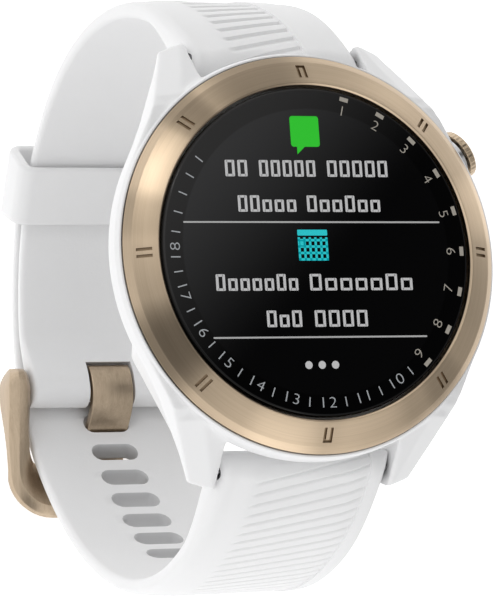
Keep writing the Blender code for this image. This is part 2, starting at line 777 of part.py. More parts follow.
def make_upper_strap():
    outline = arc(short_inner, radians(-9), radians(131), 48)
    outline += round_end(BAR_ORBIT, BAR_ANGLE, STRAP_END_RADIUS, 1, 6)
    outline += arc(short_outer, radians(131), radians(-9), 40)
    outline += list(reversed(round_end(PIN_ORBIT, PIN_ANGLE, BARREL_RADIUS, -1, 8)))
    strap = prism("upper_strap", outline, -STRAP_WIDTH / 2, STRAP_WIDTH / 2, WHITE_STRAP, STRAP_EDGE)
    bar_bore(strap, "upper_bar", 1)
    pin_y, pin_z = loop_point(PIN_ORBIT, PIN_ANGLE)
    pin_way = cylinder("pin_way", PIN_BORE, 30 * MM, (0, pin_y, pin_z), (1, 0, 0))
    notch = sector("tongue_notch", (27 * MM, 34 * MM), (radians(-20), radians(-4.9)), TONGUE_WIDTH / 2 + GAP)
    cut(strap, pin_way, notch)
    hinge = pivot("upper_strap_hinge", bar_point(1, 0))
    hang(hinge, strap, *make_spring_bar("upper_bar", 1))


def make_lower_strap():
    outline = arc(long_inner, radians(-131), TAIL_END, 48)
    outline += round_end(TAIL_INNER + TAIL_THICKNESS / 2, TAIL_END, TAIL_THICKNESS / 2, 1, 4)[1:-1]
    outline += arc(long_outer, TAIL_END, radians(-131), 48)
    outline += list(reversed(round_end(BAR_ORBIT, -BAR_ANGLE, STRAP_END_RADIUS, -1, 6)))
    strap = prism("lower_strap", outline, -STRAP_WIDTH / 2, STRAP_WIDTH / 2, WHITE_STRAP, STRAP_EDGE)
    bar_bore(strap, "lower_bar", -1)
    width, length = SLOT_SIZE
    for index in range(-SLOTS_TOWARDS_LUG, SLOTS_TOWARDS_TIP + 1):
        angle = FIRST_SLOT + index * SLOT_PITCH
        y, z = loop_point(32.5 * MM, angle)
        slot = box(f"slot_{index}", (width, length, 8 * MM), (0, y, z), None, (angle, 0, 0))
        rounding = slot.modifiers.new("round ends", "BEVEL")
        rounding.width = length * 0.42
        rounding.segments = 3
        rounding.limit_method = "WEIGHT"
        round_upright_edges(slot.data)
        cut(strap, slot)
    hinge = pivot("lower_strap_hinge", bar_point(-1, 0))
    hang(hinge, strap, *make_spring_bar("lower_bar", -1))


def round_upright_edges(mesh):
    """Mark the four edges of a box that run along Z for its Bevel modifier."""
    weights = mesh.attributes.new("bevel_weight_edge", "FLOAT", "EDGE")
    for edge in mesh.edges:
        start, end = (mesh.vertices[index].co for index in edge.vertices)
        upright = abs(start.z - end.z) > abs(start.x - end.x) + abs(start.y - end.y)
        weights.data[edge.index].value = 1.0 if upright else 0.0


# ---------------------------------------------------------------- keeper and buckle

def make_keeper():
    keeper = sector("strap_keeper", KEEPER_OUTSIDE, KEEPER_ANGLES, KEEPER_HALF_WIDTH, WHITE_STRAP, 0.5 * MM)
    beyond = (KEEPER_ANGLES[0] - radians(2), KEEPER_ANGLES[1] + radians(2))
    cut(keeper, sector("keeper_window", KEEPER_WINDOW, beyond, KEEPER_HALF_WINDOW, steps=8))
    hang(pivot("keeper_slide", (0, 0, LOOP_Z)), keeper)


def arm_outline():
    """Side of a buckle arm: an eye round the pin that widens into the end of the bar."""
    eye = Vector(loop_point(PIN_ORBIT, PIN_ANGLE))
    bar_middle = (BAR_ANGLES[0] + BAR_ANGLES[1]) / 2
    tip = Vector(loop_point(34.55 * MM, bar_middle - radians(1.2)))
    tip_radius = 1.55 * MM
    reach = tip - eye
    heading = atan2(reach.y, reach.x)
    spread = acos((ARM_EYE_RADIUS - tip_radius) / reach.length)
    points = []
    for middle, radius, start, end in (
        (eye, ARM_EYE_RADIUS, heading + spread, heading + 2 * pi - spread),
        (tip, tip_radius, heading - spread, heading + spread),
    ):
        for step in range(11):
            turn = start + (end - start) * step / 10
            points.append((middle.x + radius * cos(turn), middle.y + radius * sin(turn)))
    return points


def make_buckle():
    pin_y, pin_z = loop_point(PIN_ORBIT, PIN_ANGLE)
    frame = sector("buckle_frame", BAR_RADII, BAR_ANGLES, ARM_OUTER - 0.05 * MM, BRUSHED_GOLD, 0.5 * MM)
    for side, (low, high) in (("left", (-ARM_OUTER, -ARM_INNER)), ("right", (ARM_INNER, ARM_OUTER))):
        join(frame, prism(f"arm_{side}", arm_outline(), low, high, None, 0.5 * MM))
    rest = sector("tongue_rest", (35.0 * MM, 40 * MM), (radians(-15), radians(-32.6)), TONGUE_WIDTH / 2 + GAP)
    pin_way = cylinder("frame_pin_way", PIN_BORE, 40 * MM, (0, pin_y, pin_z), (1, 0, 0))
    cut(frame, rest, pin_way)

    pin = cylinder("buckle_pin", PIN_RADIUS, 2 * (ARM_OUTER - 0.2 * MM), (0, pin_y, pin_z), (1, 0, 0), BRUSHED_GOLD)
    tongue = make_tongue(pin_y, pin_z)
    hang(bpy.data.objects["upper_strap_hinge"], pin)
    hang(pivot("buckle_frame_hinge", (0, pin_y, pin_z)), frame)
    hang(pivot("buckle_tongue_hinge", (0, pin_y, pin_z)), tongue)


def make_tongue(pin_y, pin_z):
    """A strip bent round the pin, then out through a slot and along the frame's bar."""
    middle_radius = PIN_BORE + TONGUE_THICKNESS / 2
    path = []
    for step in range(13):
        turn = radians(-125 + 22.5 * step)
        path.append((pin_y + middle_radius * cos(turn), pin_z + middle_radius * sin(turn)))
    finger = [
        loop_point(30.9 * MM, radians(-14.9)),
        loop_point(32.3 * MM, radians(-16.9)),
        loop_point(34.0 * MM, radians(-18.2)),
        loop_point(35.3 * MM, radians(-20.6)),
        loop_point(35.8 * MM, radians(-24.5)),
        loop_point(35.8 * MM, radians(-31.6)),
    ]
    path += smooth_path([path[-1]] + finger, 2)[1:]
    work = bmesh.new()
    rows = [
        [work.verts.new((x, y, z)) for x in (-TONGUE_WIDTH / 2, TONGUE_WIDTH / 2)] for y, z in path
    ]
    for row, following in zip(rows, rows[1:]):
        work.faces.new((row[0], row[1], following[1], following[0]))
    tongue = add("buckle_tongue", mesh_of(work, "buckle_tongue"), BRUSHED_GOLD)
    thick = tongue.modifiers.new("thickness", "SOLIDIFY")
    thick.thickness = TONGUE_THICKNESS
    thick.offset = 0
    thick.use_even_offset = True
    return tongue


make_case()
make_back()
make_bezel()
make_dial()
make_inside()
make_button()
make_upper_strap()
make_lower_strap()
make_keeper()
make_buckle()
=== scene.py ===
# %% [markdown]
# # A golf GPS watch, built in cells
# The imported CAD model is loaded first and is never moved. Each visible piece is then rebuilt
# finely in its place, and each finish is made from procedural nodes. Meshes are in metres, and
# lists written in millimetres go through mm(). +Z points out of the dial, +Y to 12 o'clock and
# +X to 3 o'clock.

import json
from math import acos, atan2, cos, hypot, pi, radians, sin

import bmesh
import bpy
from mathutils import Matrix, Vector

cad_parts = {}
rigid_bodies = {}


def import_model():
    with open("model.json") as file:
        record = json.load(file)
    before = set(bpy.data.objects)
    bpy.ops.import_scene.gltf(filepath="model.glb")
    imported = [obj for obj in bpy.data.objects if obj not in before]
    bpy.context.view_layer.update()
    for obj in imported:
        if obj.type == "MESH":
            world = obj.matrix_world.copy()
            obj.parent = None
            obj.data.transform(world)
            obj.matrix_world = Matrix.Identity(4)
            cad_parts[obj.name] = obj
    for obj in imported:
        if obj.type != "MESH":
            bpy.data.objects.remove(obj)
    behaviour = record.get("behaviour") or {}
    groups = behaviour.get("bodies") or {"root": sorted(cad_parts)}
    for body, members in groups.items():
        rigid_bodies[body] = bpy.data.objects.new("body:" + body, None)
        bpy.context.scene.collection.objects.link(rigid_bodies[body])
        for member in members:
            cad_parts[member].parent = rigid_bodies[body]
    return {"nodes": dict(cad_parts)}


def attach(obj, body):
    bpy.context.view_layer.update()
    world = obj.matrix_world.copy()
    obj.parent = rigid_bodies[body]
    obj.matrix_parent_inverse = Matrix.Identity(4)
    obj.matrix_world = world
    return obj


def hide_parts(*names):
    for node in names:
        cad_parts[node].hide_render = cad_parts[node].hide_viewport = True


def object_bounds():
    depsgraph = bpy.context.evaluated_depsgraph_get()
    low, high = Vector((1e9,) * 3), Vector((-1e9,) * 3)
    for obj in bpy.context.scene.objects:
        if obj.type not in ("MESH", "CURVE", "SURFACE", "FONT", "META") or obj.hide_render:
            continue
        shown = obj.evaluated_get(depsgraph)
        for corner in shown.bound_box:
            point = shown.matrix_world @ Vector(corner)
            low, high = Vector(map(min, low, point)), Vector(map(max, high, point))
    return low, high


for old in list(bpy.data.objects):
    bpy.data.objects.remove(old, do_unlink=True)

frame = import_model()
cad_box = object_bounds()
MM = 0.001


def mm(*points):
    """Points or corners from millimetres to metres."""
    return [tuple(value * MM for value in point) for point in points]


print("CAD box in mm:", [[round(value / MM, 1) for value in corner] for corner in cad_box])

# %% [markdown]
# ## Camera
# A small round dial keeps its shape through a long lens, from a little way off. The camera
# stands to the lower left and in front of the dial. Its three axes are given as columns,
# because that keeps the roll, which a look-at constraint would lose.

# %% Camera
SENSOR, FOCAL = 36, 298.8
STAND = (-0.21558, -0.08136, 0.47818)
RIGHT, UP, BACK = (0.91610, -0.06994, 0.39479), (0.00493, 0.98656, 0.16333), (-0.40091, -0.14768, 0.90414)
lens = bpy.data.cameras.new("view")
lens.sensor_width = SENSOR
lens.lens = FOCAL
lens.clip_start = 0.01
camera = bpy.data.objects.new("view", lens)
bpy.context.scene.collection.objects.link(camera)
camera.matrix_world = Matrix.Translation(STAND) @ Matrix((RIGHT, UP, BACK)).transposed().to_4x4()
bpy.context.scene.camera = camera
print("camera stands", round(camera.location.length, 3), "m from the case back")

# %% [markdown]
# ## Node helpers
# A node tree in a script gets long, because each node, value and link is a line of its own.
# One helper adds a node and fills its inputs, with a value or with another node's output.
# It serves for geometry trees and for materials; short forms follow for what is used most.

# %% Node helpers
def feed(tree, node, feeds):
    """Fill a node's inputs, by name or number, each with a value or another node's output."""
    for name, value in feeds.items():
        if isinstance(value, bpy.types.NodeSocket):
            tree.links.new(value, node.inputs[name])
        else:
            node.inputs[name].default_value = value
    return node


def put(tree, kind, feeds=None, **settings):
    """Add a node with its settings and its inputs."""
    made = tree.nodes.new(kind)
    for name, value in settings.items():
        setattr(made, name, value)
    return feed(tree, made, feeds or {})


def sum_up(tree, operation, *values):
    """The output of one Math node."""
    return put(tree, "ShaderNodeMath", dict(enumerate(values)), operation=operation).outputs[0]


def vector(tree, operation, *values, **named):
    """The output of one Vector Math node."""
    made = put(tree, "ShaderNodeVectorMath", {**dict(enumerate(values)), **named}, operation=operation)
    return made.outputs["Value" if operation in ("DOT_PRODUCT", "LENGTH") else "Vector"]


def soft_step(tree, value, low, high, start=0.0, end=1.0):
    """A number that runs softly from start to end while the value runs from low to high."""
    feeds = {"Value": value, "From Min": low, "From Max": high, "To Min": start, "To Max": end}
    return put(tree, "ShaderNodeMapRange", feeds, interpolation_type="SMOOTHSTEP").outputs[0]


def noise(tree, place, scale, detail=2.0, **named):
    """A cloudy 0 to 1 mask; the scale is in clouds per metre."""
    feeds = {"Vector": place, "Scale": scale, "Detail": detail, **named}
    return put(tree, "ShaderNodeTexNoise", feeds).outputs["Fac"]


def parts(tree, value):
    """The three parts of a vector."""
    return put(tree, "ShaderNodeSeparateXYZ", {0: value}).outputs


def xyz(tree, **axes):
    """A vector from its parts X, Y and Z."""
    return put(tree, "ShaderNodeCombineXYZ", axes).outputs[0]


def open_tree(name, kind, inputs, outputs=()):
    """A node tree with named inputs and outputs, and its two end nodes."""
    tree = bpy.data.node_groups.new(name, kind)
    if kind == "GeometryNodeTree":
        for way in ("INPUT", "OUTPUT"):
            tree.interface.new_socket("Geometry", in_out=way, socket_type="NodeSocketGeometry")
    for label, sort, value in inputs:
        made = tree.interface.new_socket(label, in_out="INPUT", socket_type="NodeSocket" + sort)
        if value is not None:
            made.default_value = value
    for label, sort in outputs:
        tree.interface.new_socket(label, in_out="OUTPUT", socket_type="NodeSocket" + sort)
    return tree, put(tree, "NodeGroupInput").outputs, put(tree, "NodeGroupOutput").inputs


print("node helpers are ready")

# %% [markdown]
# ## Floor and light
# White goods need a white tent: a pale floor that glows a little, large soft boxes, and a bright
# room that dims to the right. The glass and the brushed metal need the opposite, something dark
# to mirror, so three directions of the room are nearly black. The small boxes give the bezel
# its highlights.

# %% Floor and light
scene = bpy.context.scene
scene.view_settings.view_transform = "Standard"
ROOM_LIGHT = 0.90
DARK_WAYS = ((-0.46, -0.35, 0.816), (0.40, 0.148, 0.904), (-0.20, 0.77, 0.606))
room = bpy.data.worlds.new("studio")
room.use_nodes = True
tree = room.node_tree
heading = put(tree, "ShaderNodeTexCoord").outputs["Generated"]
strength = sum_up(tree, "MULTIPLY", soft_step(tree, parts(tree, heading)[0], -0.1, 0.9, 1.0, 0.5), ROOM_LIGHT)
for way in DARK_WAYS:
    near = vector(tree, "DOT_PRODUCT", heading, way)
    strength = sum_up(tree, "MULTIPLY", soft_step(tree, near, 0.94, 0.995, 1.0, 0.04), strength)
feed(tree, tree.nodes["Background"], {"Strength": strength, "Color": (1, 1, 1, 1)})
scene.world = room

WHITE = (1, 1, 1)
BOX_DISTANCE = 0.6
SOFT_BOXES = {  # name: direction, width in metres, watts, colour
    "key": ((-0.44, 0.56, 0.70), 0.08, 0.19, (1.0, 0.985, 0.96)),
    "back": ((-0.10, 0.95, 0.35), 0.40, 0.12, WHITE),
    "front": ((0.05, -0.95, 0.32), 0.36, 0.38, WHITE),
    "low front": ((0.17, -0.73, 0.66), 0.10, 0.06, WHITE),
    "right": ((0.92, 0.38, 0.10), 0.18, 0.06, WHITE),
    "upper right": ((0.71, 0.68, 0.17), 0.10, 0.06, WHITE),
    "left": ((-0.95, -0.10, 0.30), 0.34, 0.04, WHITE),
}
for name, (direction, width, power, tint) in SOFT_BOXES.items():
    data = bpy.data.lights.new(name, "AREA")
    data.size = width
    data.energy = power
    data.color = tint
    soft_box_light = bpy.data.objects.new(name, data)
    place = Vector(direction).normalized()
    soft_box_light.location = place * BOX_DISTANCE
    soft_box_light.rotation_euler = place.to_track_quat("Z", "Y").to_euler()
    scene.collection.objects.link(soft_box_light)
print("lights:", len(SOFT_BOXES))

# %% [markdown]
# ## Finishes that several materials share
# Silicone, moulded plastic and rubber all have a fine skin that catches light unevenly, and all
# metal here is brushed. Each effect is one node group with its own inputs, so the pieces differ
# only in their numbers. Both groups put out plain values: a height for bump and a mask.

# %% Grain group
grain, given, made = open_tree(
    "moulded skin", "ShaderNodeTree",
    [("Vector", "Vector", None), ("Scale", "Float", 4000.0), ("Cloud scale", "Float", 120.0)],
    [("Height", "Float"), ("Cloud", "Float")])
grain.links.new(noise(grain, given["Vector"], given["Scale"], 3.0), made["Height"])
grain.links.new(noise(grain, given["Vector"], given["Cloud scale"]), made["Cloud"])
print("group:", grain.name)

# %% Brushing group
brushing, given, made = open_tree("brushed lines", "ShaderNodeTree",
                                  [("Vector", "Vector", None), ("Fineness", "Float", 1.0)],
                                  [("Height", "Float"), ("Streak", "Float")])
hair = noise(brushing, given["Vector"], given["Fineness"], 4.0, Roughness=0.7)
broad = noise(brushing, given["Vector"], sum_up(brushing, "MULTIPLY", given["Fineness"], 0.23))
mixed = sum_up(brushing, "MULTIPLY_ADD", broad, 0.4, sum_up(brushing, "MULTIPLY", hair, 0.6))
brushing.links.new(hair, made["Height"])
brushing.links.new(mixed, made["Streak"])
print("group:", brushing.name)

# %% [markdown]
# ## Plastic, silicone and rubber
# The case is moulded fibre-filled polymer with a satin shine; the strap is silicone, softer and
# duller, which shows as higher roughness and a little sheen. Colour hardly varies on a new part,
# so the cloud mask only moves it by a percent or two, and moves the roughness more. The walls of
# the strap's slots have a darker white, which is painted shade for the recess they lie in.

# %% Moulded finishes
def blank(name):
    """A material with only its Principled shader: the tree, the shader and object coordinates."""
    made = bpy.data.materials.new(name)
    made.use_nodes = True
    tree = made.node_tree
    return made, tree, tree.nodes["Principled BSDF"], put(tree, "ShaderNodeTexCoord").outputs["Object"]


def mix_colours(tree, share, first, second):
    """A colour between two, by a 0 to 1 share."""
    return put(tree, "ShaderNodeMix", {"Factor": share, 6: first, 7: second}, data_type="RGBA").outputs[2]


def between(tree, share, low, high):
    """A colour or number that runs from low to high with a 0 to 1 share."""
    if isinstance(low, tuple):
        return mix_colours(tree, share, (*low, 1), (*high, 1))
    return put(tree, "ShaderNodeMapRange", {"Value": share, "To Min": low, "To Max": high}).outputs[0]


def bump(tree, height, strength, relief):
    """The normal of a fine relief, in millimetres."""
    feeds = {"Height": height, "Strength": strength, "Distance": relief * MM}
    return put(tree, "ShaderNodeBump", feeds).outputs["Normal"]


def moulded(name, dark, light, rough, scale=4000.0, relief=0.02, coat=0.0, sheen=0.0):
    """A moulded finish; rough is the pair that its roughness runs between."""
    look, tree, shader, place = blank(name)
    skin = put(tree, "ShaderNodeGroup", {"Vector": place, "Scale": scale}, node_tree=grain).outputs
    feed(tree, shader, {
        "Base Color": between(tree, skin["Cloud"], dark, light),
        "Roughness": between(tree, skin["Cloud"], *rough), "Normal": bump(tree, skin["Height"], 0.6, relief),
        "Coat Weight": coat, "Coat Roughness": 0.25, "Sheen Weight": sheen,
    })
    return look


white_case = moulded("satin_white_polymer", (0.82, 0.82, 0.825), (0.845, 0.845, 0.85), (0.30, 0.40),
                     coat=0.15)
white_strap = moulded("white_silicone", (0.82, 0.82, 0.825), (0.85, 0.85, 0.853), (0.46, 0.58), 3000.0, 0.03,
                      sheen=0.05)
# Painted shade: a darker white for the slot walls, standing in for the shade in their recess.
white_slot = moulded("white_slot", (0.48, 0.48, 0.485), (0.54, 0.54, 0.545), (0.5, 0.62))
rubber = moulded("black_gasket_rubber", (0.018, 0.018, 0.018), (0.04, 0.04, 0.04), (0.55, 0.75), 2500.0, 0.04)
grey_plastic = moulded("glass_filled_plastic", (0.17, 0.17, 0.18), (0.25, 0.25, 0.26), (0.4, 0.6), 2200.0,
                       0.05)
print("moulded finishes:", [look.name for look in (white_case, white_strap, white_slot, rubber,
                                                   grey_plastic)])

# %% [markdown]
# ## Brushed metal
# The bezel is turned, so its lines run round it; the buckle is drawn over a belt, so its lines
# run along it. Lines are noise stretched very far in one direction. For the turned finish the
# place is first changed into a direction and a radius, which leaves no seam anywhere. A turned
# face also shows fans of reflection, and these are painted: the finish takes a list of sectors
# whose colour is made paler, as painted highlights, or darker, as painted shade.

# %% Brushed finishes
LINES_PER_M = 9000.0


def brushed(name, dark, light, rough, stretch=None, anisotropy=0.0, painted_fans=()):
    """A brushed metal: stretch scales each axis of its lines, which without it are circles about Z.

    Each fan is (degrees, half width, strength): a sector of a turned face whose colour is scaled, a painted
    highlight where the strength is over 1 and painted shade where it is under.
    """
    look, tree, shader, place = blank(name)
    if stretch:
        lines = put(tree, "ShaderNodeMapping", {"Vector": place, "Scale": stretch}).outputs[0]
    else:
        level = vector(tree, "MULTIPLY", place, (1, 1, 0))
        heading = vector(tree, "NORMALIZE", level)
        x, y, _ = parts(tree, heading)
        lines = xyz(tree, X=x, Y=y, Z=sum_up(tree, "MULTIPLY", vector(tree, "LENGTH", level), LINES_PER_M))
    brush = put(tree, "ShaderNodeGroup", {"Vector": lines}, node_tree=brushing).outputs
    colour = between(tree, brush["Streak"], dark, light)
    # Painted highlight and shade: each fan scales the colour in its own sector.
    for degrees, spread, strength in painted_fans:
        near = vector(tree, "DOT_PRODUCT", heading, (cos(radians(degrees)), sin(radians(degrees)), 0))
        share = soft_step(tree, near, cos(radians(spread)), 1.0, 1.0, strength)
        colour = vector(tree, "SCALE", colour, Scale=share)
    feed(tree, shader, {
        "Base Color": colour, "Roughness": between(tree, brush["Streak"], *rough),
        "Normal": bump(tree, brush["Height"], 0.5, 0.006), "Metallic": 1.0,
    })
    if anisotropy:
        tangent = put(tree, "ShaderNodeTangent", direction_type="RADIAL", axis="Z").outputs[0]
        feed(tree, shader, {"Anisotropic": anisotropy, "Tangent": tangent})
    return look


# Painted reflections on the bezel: a strength over 1 is a painted highlight, one under 1 is painted shade.
PAINTED_FANS = ((14, 13, 1.3), (345, 14, 0.95), (105, 20, 0.60), (132, 9, 0.62), (151, 14, 1.3), (168, 9, 0.8),
        (210, 17, 0.42), (255, 14, 1.25), (285, 16, 1.3), (315, 10, 0.75))
gold_turned = brushed("gold_turned", (0.40, 0.305, 0.205), (0.66, 0.53, 0.39), (0.26, 0.40), anisotropy=0.75,
                      painted_fans=PAINTED_FANS)
gold_belted = brushed("gold_belted", (0.30, 0.225, 0.15), (0.68, 0.55, 0.41), (0.27, 0.40), (9000, 350, 9000))
gold_cap = brushed("gold_cap", (0.48, 0.37, 0.25), (0.66, 0.53, 0.39), (0.22, 0.34), (1500, 1500, 9000))
# Groove floors: a darker bronze that is partly mark paint and partly painted shade.
groove_floor_paint_and_shade = brushed("engraved_bronze", (0.26, 0.19, 0.12), (0.38, 0.285, 0.19), (0.45, 0.6),
                   (6000, 6000, 6000))
steel = brushed("turned_steel", (0.62, 0.62, 0.63), (0.80, 0.80, 0.81), (0.14, 0.28), (400, 9000, 9000))
contact_gold = brushed("plated_contact", (0.75, 0.54, 0.22), (0.88, 0.66, 0.30), (0.18, 0.3),
                       (3000, 3000, 3000))
foil = brushed("cell_foil", (0.48, 0.49, 0.51), (0.62, 0.63, 0.65), (0.3, 0.45), (900, 4000, 900))
golds = (gold_turned, gold_belted, gold_cap, groove_floor_paint_and_shade, contact_gold)
print("brushed finishes:", [look.name for look in (*golds, steel, foil)])

# %% [markdown]
# ## Glass, display and print
# The cover glass looks black, because the display under it is dark. The display itself is
# reflective, so it shows as a slightly greyer disc. Both carry a painted reflection that makes them
# paler to the upper left. Printed marks and lit symbols are thin pieces just over the glass; the
# lit ones glow a little.

# %% Glass, display and print
black_glass, tree, shader, place = blank("black_glass")
reach = vector(tree, "LENGTH", vector(tree, "MULTIPLY", place, (1, 1, 0)))
disc = put(tree, "ShaderNodeMapRange", {"Value": reach, "From Min": 15.15 * MM,
                                        "From Max": 15.3 * MM}).outputs[0]
x, y, _ = parts(tree, place)
# Painted reflection: the glass and the display get paler towards the upper left.
pale = soft_step(tree, sum_up(tree, "SUBTRACT", y, x), -4 * MM, 26 * MM)
display_with_painted_reflection = between(tree, pale, (0.0022, 0.0022, 0.0024), (0.046, 0.046, 0.047))
rim_with_painted_reflection = between(tree, pale, (0.0012, 0.0012, 0.0013), (0.036, 0.0355, 0.0355))
smudge = between(tree, noise(tree, place, 90.0), 0.03, 0.09)
feed(tree, shader, {
    "Base Color": mix_colours(tree, disc, display_with_painted_reflection, rim_with_painted_reflection), "Roughness": smudge,
    "Specular IOR Level": 0.2,
})


def printed(name, colour, glow=0.0):
    """Ink or a lit symbol: fine speckle in its colour, and a glow of its own."""
    look, tree, shader, place = blank(name)
    speck = noise(tree, place, 9000.0, 1.0)
    shade = between(tree, speck, tuple(0.88 * value for value in colour), colour)
    feed(tree, shader, {"Base Color": shade, "Roughness": between(tree, speck, 0.45, 0.6)})
    if glow:
        feed(tree, shader, {"Emission Color": shade, "Emission Strength": glow})
    return look


silver_ink = printed("silver_ink", (0.42, 0.44, 0.46))
beige_ink = printed("beige_ink", (0.40, 0.37, 0.32))
lit_white = printed("lit_white", (0.50, 0.50, 0.505), 0.22)
lit_grey = printed("lit_grey", (0.42, 0.42, 0.42), 0.14)
lit_green = printed("lit_green", (0.012, 0.52, 0.012), 0.25)
lit_teal = printed("lit_teal", (0.006, 0.50, 0.54), 0.32)
print("dial finishes:", black_glass.name, silver_ink.name, lit_white.name)

# %% Circuit board and screen edge, hidden inside the case
board, tree, shader, place = blank("solder_mask")
tracks = put(tree, "ShaderNodeTexBrick", {
    "Vector": place, "Scale": 900.0, "Mortar Size": 0.03, "Color1": (0.01, 0.13, 0.06, 1),
    "Color2": (0.015, 0.17, 0.08, 1), "Mortar": (0.10, 0.30, 0.12, 1),
}).outputs
feed(tree, shader, {"Base Color": tracks["Color"], "Roughness": between(tree, tracks["Fac"], 0.35, 0.25)})
screen_back = moulded("screen_back", (0.012, 0.012, 0.014), (0.03, 0.03, 0.035), (0.2, 0.35), 1500.0, 0.01)

INNER_FINISH = {
    "back_gasket": rubber, "lens_gasket": rubber, "button_seal": rubber, "inner_carrier": grey_plastic,
    "tactile_switch": grey_plastic, "battery": foil, "vibration_motor": foil, "gps_receiver": foil,
    "main_board": board, "display_module": screen_back, "antenna_ring": contact_gold,
}
for name, node in frame["nodes"].items():
    for place in node.material_slots:
        place.material = INNER_FINISH.get(name, steel)
print("inner pieces finished:", len(INNER_FINISH))

# %% [markdown]
# ## Building helpers
# Round pieces are turned from a profile whose corners are rounded first, because a real edge
# always has a small radius and that radius is what catches the light. Swept pieces are stacks
# of rings with the same number of points. Both give plain quads that shade well.

# %% Building helpers
def rounded(corners, steps=4):
    """Points of an open outline; each corner is (u, v) or (u, v, radius)."""
    path = []
    for index, corner in enumerate(corners):
        here = Vector(corner[:2])
        radius = corner[2] if len(corner) > 2 else 0
        if not radius or index in (0, len(corners) - 1):
            path.append(tuple(here))
            continue
        before = (Vector(corners[index - 1][:2]) - here).normalized()
        after = (Vector(corners[index + 1][:2]) - here).normalized()
        half = acos(max(-1, min(1, before.dot(after)))) / 2
        reach = radius * cos(half) / sin(half)
        centre = here + (before + after).normalized() * (radius / sin(half))
        start, end = here + before * reach - centre, here + after * reach - centre
        for step in range(steps + 1):
            share = step / steps
            spoke = start.lerp(end, share).normalized() * radius
            path.append(tuple(centre + spoke))
    return path


def shaded(mesh, sharp):
    """Smooth shading, but for the edges sharper than an angle in degrees."""
    mesh.shade_smooth()
    mesh.set_sharp_from_angle(angle=radians(sharp))
    return mesh


def mesh_from(work, name, sharp=35):
    """A finished mesh: doubles merged, normals outwards, smooth but for its sharp edges."""
    bmesh.ops.remove_doubles(work, verts=work.verts, dist=0.002 * MM)
    bmesh.ops.recalc_face_normals(work, faces=work.faces)
    mesh = bpy.data.meshes.new(name)
    work.to_mesh(mesh)
    work.free()
    return shaded(mesh, sharp)


def skin_over(work, rows, looped=False):
    """Quads between rows of points; looped joins the last row to the first, else both get a face."""
    for row, following in list(zip(rows, rows[1:])) + ([(rows[-1], rows[0])] if looped else []):
        for index in range(len(row)):
            ahead = (index + 1) % len(row)
            work.faces.new((row[index], row[ahead], following[ahead], following[index]))
    if not looped:
        work.faces.new(rows[0])
        work.faces.new(rows[-1])


def stack(name, rings, looped=False, sharp=35):
    """Skin over rings of points, closed at both ends or looped."""
    work = bmesh.new()
    skin_over(work, [[work.verts.new(point) for point in ring] for ring in rings], looped)
    return mesh_from(work, name, sharp)


def turned(name, profile, sides, place=None, wave=None):
    """Turn a closed profile of (radius, height) about Z; wave may move a point in or out by its angle."""
    rings = []
    for step in range(sides):
        angle = 2 * pi * step / sides
        ring = []
        for radius, height in profile:
            reach = radius + (wave(radius, height, angle) if wave else 0)
            ring.append((reach * cos(angle), reach * sin(angle), height))
        rings.append(ring)
    mesh = stack(name, rings, looped=True)
    if place is not None:
        mesh.transform(place)
    return mesh


def settle(name, mesh, look, body, slot, *stands_for):
    """Link a finished mesh, let it ride on its CAD body and stand for CAD nodes."""
    made = bpy.data.objects.new(name, mesh)
    scene.collection.objects.link(made)
    if not mesh.materials:
        mesh.materials.append(look)
    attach(made, body)
    if stands_for:
        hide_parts(*stands_for)
    print(f"{name}: {sum(len(face.vertices) - 2 for face in mesh.polygons)} triangles")


def loose(name, mesh, look=None):
    """A helper object that is linked only until its mesh has been used."""
    made = bpy.data.objects.new(name, mesh)
    scene.collection.objects.link(made)
    if look is not None:
        mesh.materials.append(look)
    return made


def taken(worker, name):
    """The evaluated mesh of a helper object, which is then removed."""
    bpy.context.view_layer.update()
    graph = bpy.context.evaluated_depsgraph_get()
    mesh = bpy.data.meshes.new_from_object(worker.evaluated_get(graph))
    mesh.name = name
    bpy.data.objects.remove(worker, do_unlink=True)
    return mesh


def modify(worker, kind, **settings):
    """Add a modifier with its settings."""
    step = worker.modifiers.new(kind.lower(), kind)
    for name, value in settings.items():
        setattr(step, name, value)
    return step


def carve(mesh, *tools, look=None):
    """Cut tools out of a mesh; the cut faces keep the finish of the tool that made them."""
    worker = loose("carving", mesh, look)
    cutters = [loose(f"tool_{index}", tool) for index, tool in enumerate(tools)]
    for cutter in cutters:
        modify(worker, "BOOLEAN", operation="DIFFERENCE", solver="EXACT", material_mode="TRANSFER",
               object=cutter)
    done = taken(worker, mesh.name)
    for cutter in cutters:
        bpy.data.objects.remove(cutter, do_unlink=True)
    return done


def block(size, place):
    """A plain cutter block."""
    work = bmesh.new()
    bmesh.ops.create_cube(work, size=1.0)
    bmesh.ops.scale(work, vec=size, verts=work.verts)
    mesh = mesh_from(work, "block")
    mesh.transform(place)
    return mesh


def facing(location, axis):
    """The place that turns +Z to an axis and moves the origin to a location."""
    return Matrix.Translation(location) @ Vector(axis).to_track_quat("Z", "Y").to_matrix().to_4x4()


print("building helpers are ready")

# %% [markdown]
# ## Repeating trees
# Three things repeat on this watch: marks set round the dial, small pieces set on given points,
# and ribs pressed into the strap. Each is one Geometry Nodes tree with named inputs. The first
# makes Count flat blocks on a circle, each turned to face out, for ticks and engraved grooves.

# %% Tree: marks on a circle
def end_tree(tree, shape, look, out):
    """The last nodes of every tree: real geometry in its finish."""
    real = put(tree, "GeometryNodeRealizeInstances", {0: shape}).outputs[0]
    done = put(tree, "GeometryNodeSetMaterial", {"Geometry": real, "Material": look}).outputs[0]
    tree.links.new(done, out["Geometry"])
    print("tree:", tree.name)


def stored(tree, name):
    """A number that each point of the mesh carries."""
    return put(tree, "GeometryNodeInputNamedAttribute", {"Name": name}, data_type="FLOAT").outputs[0]


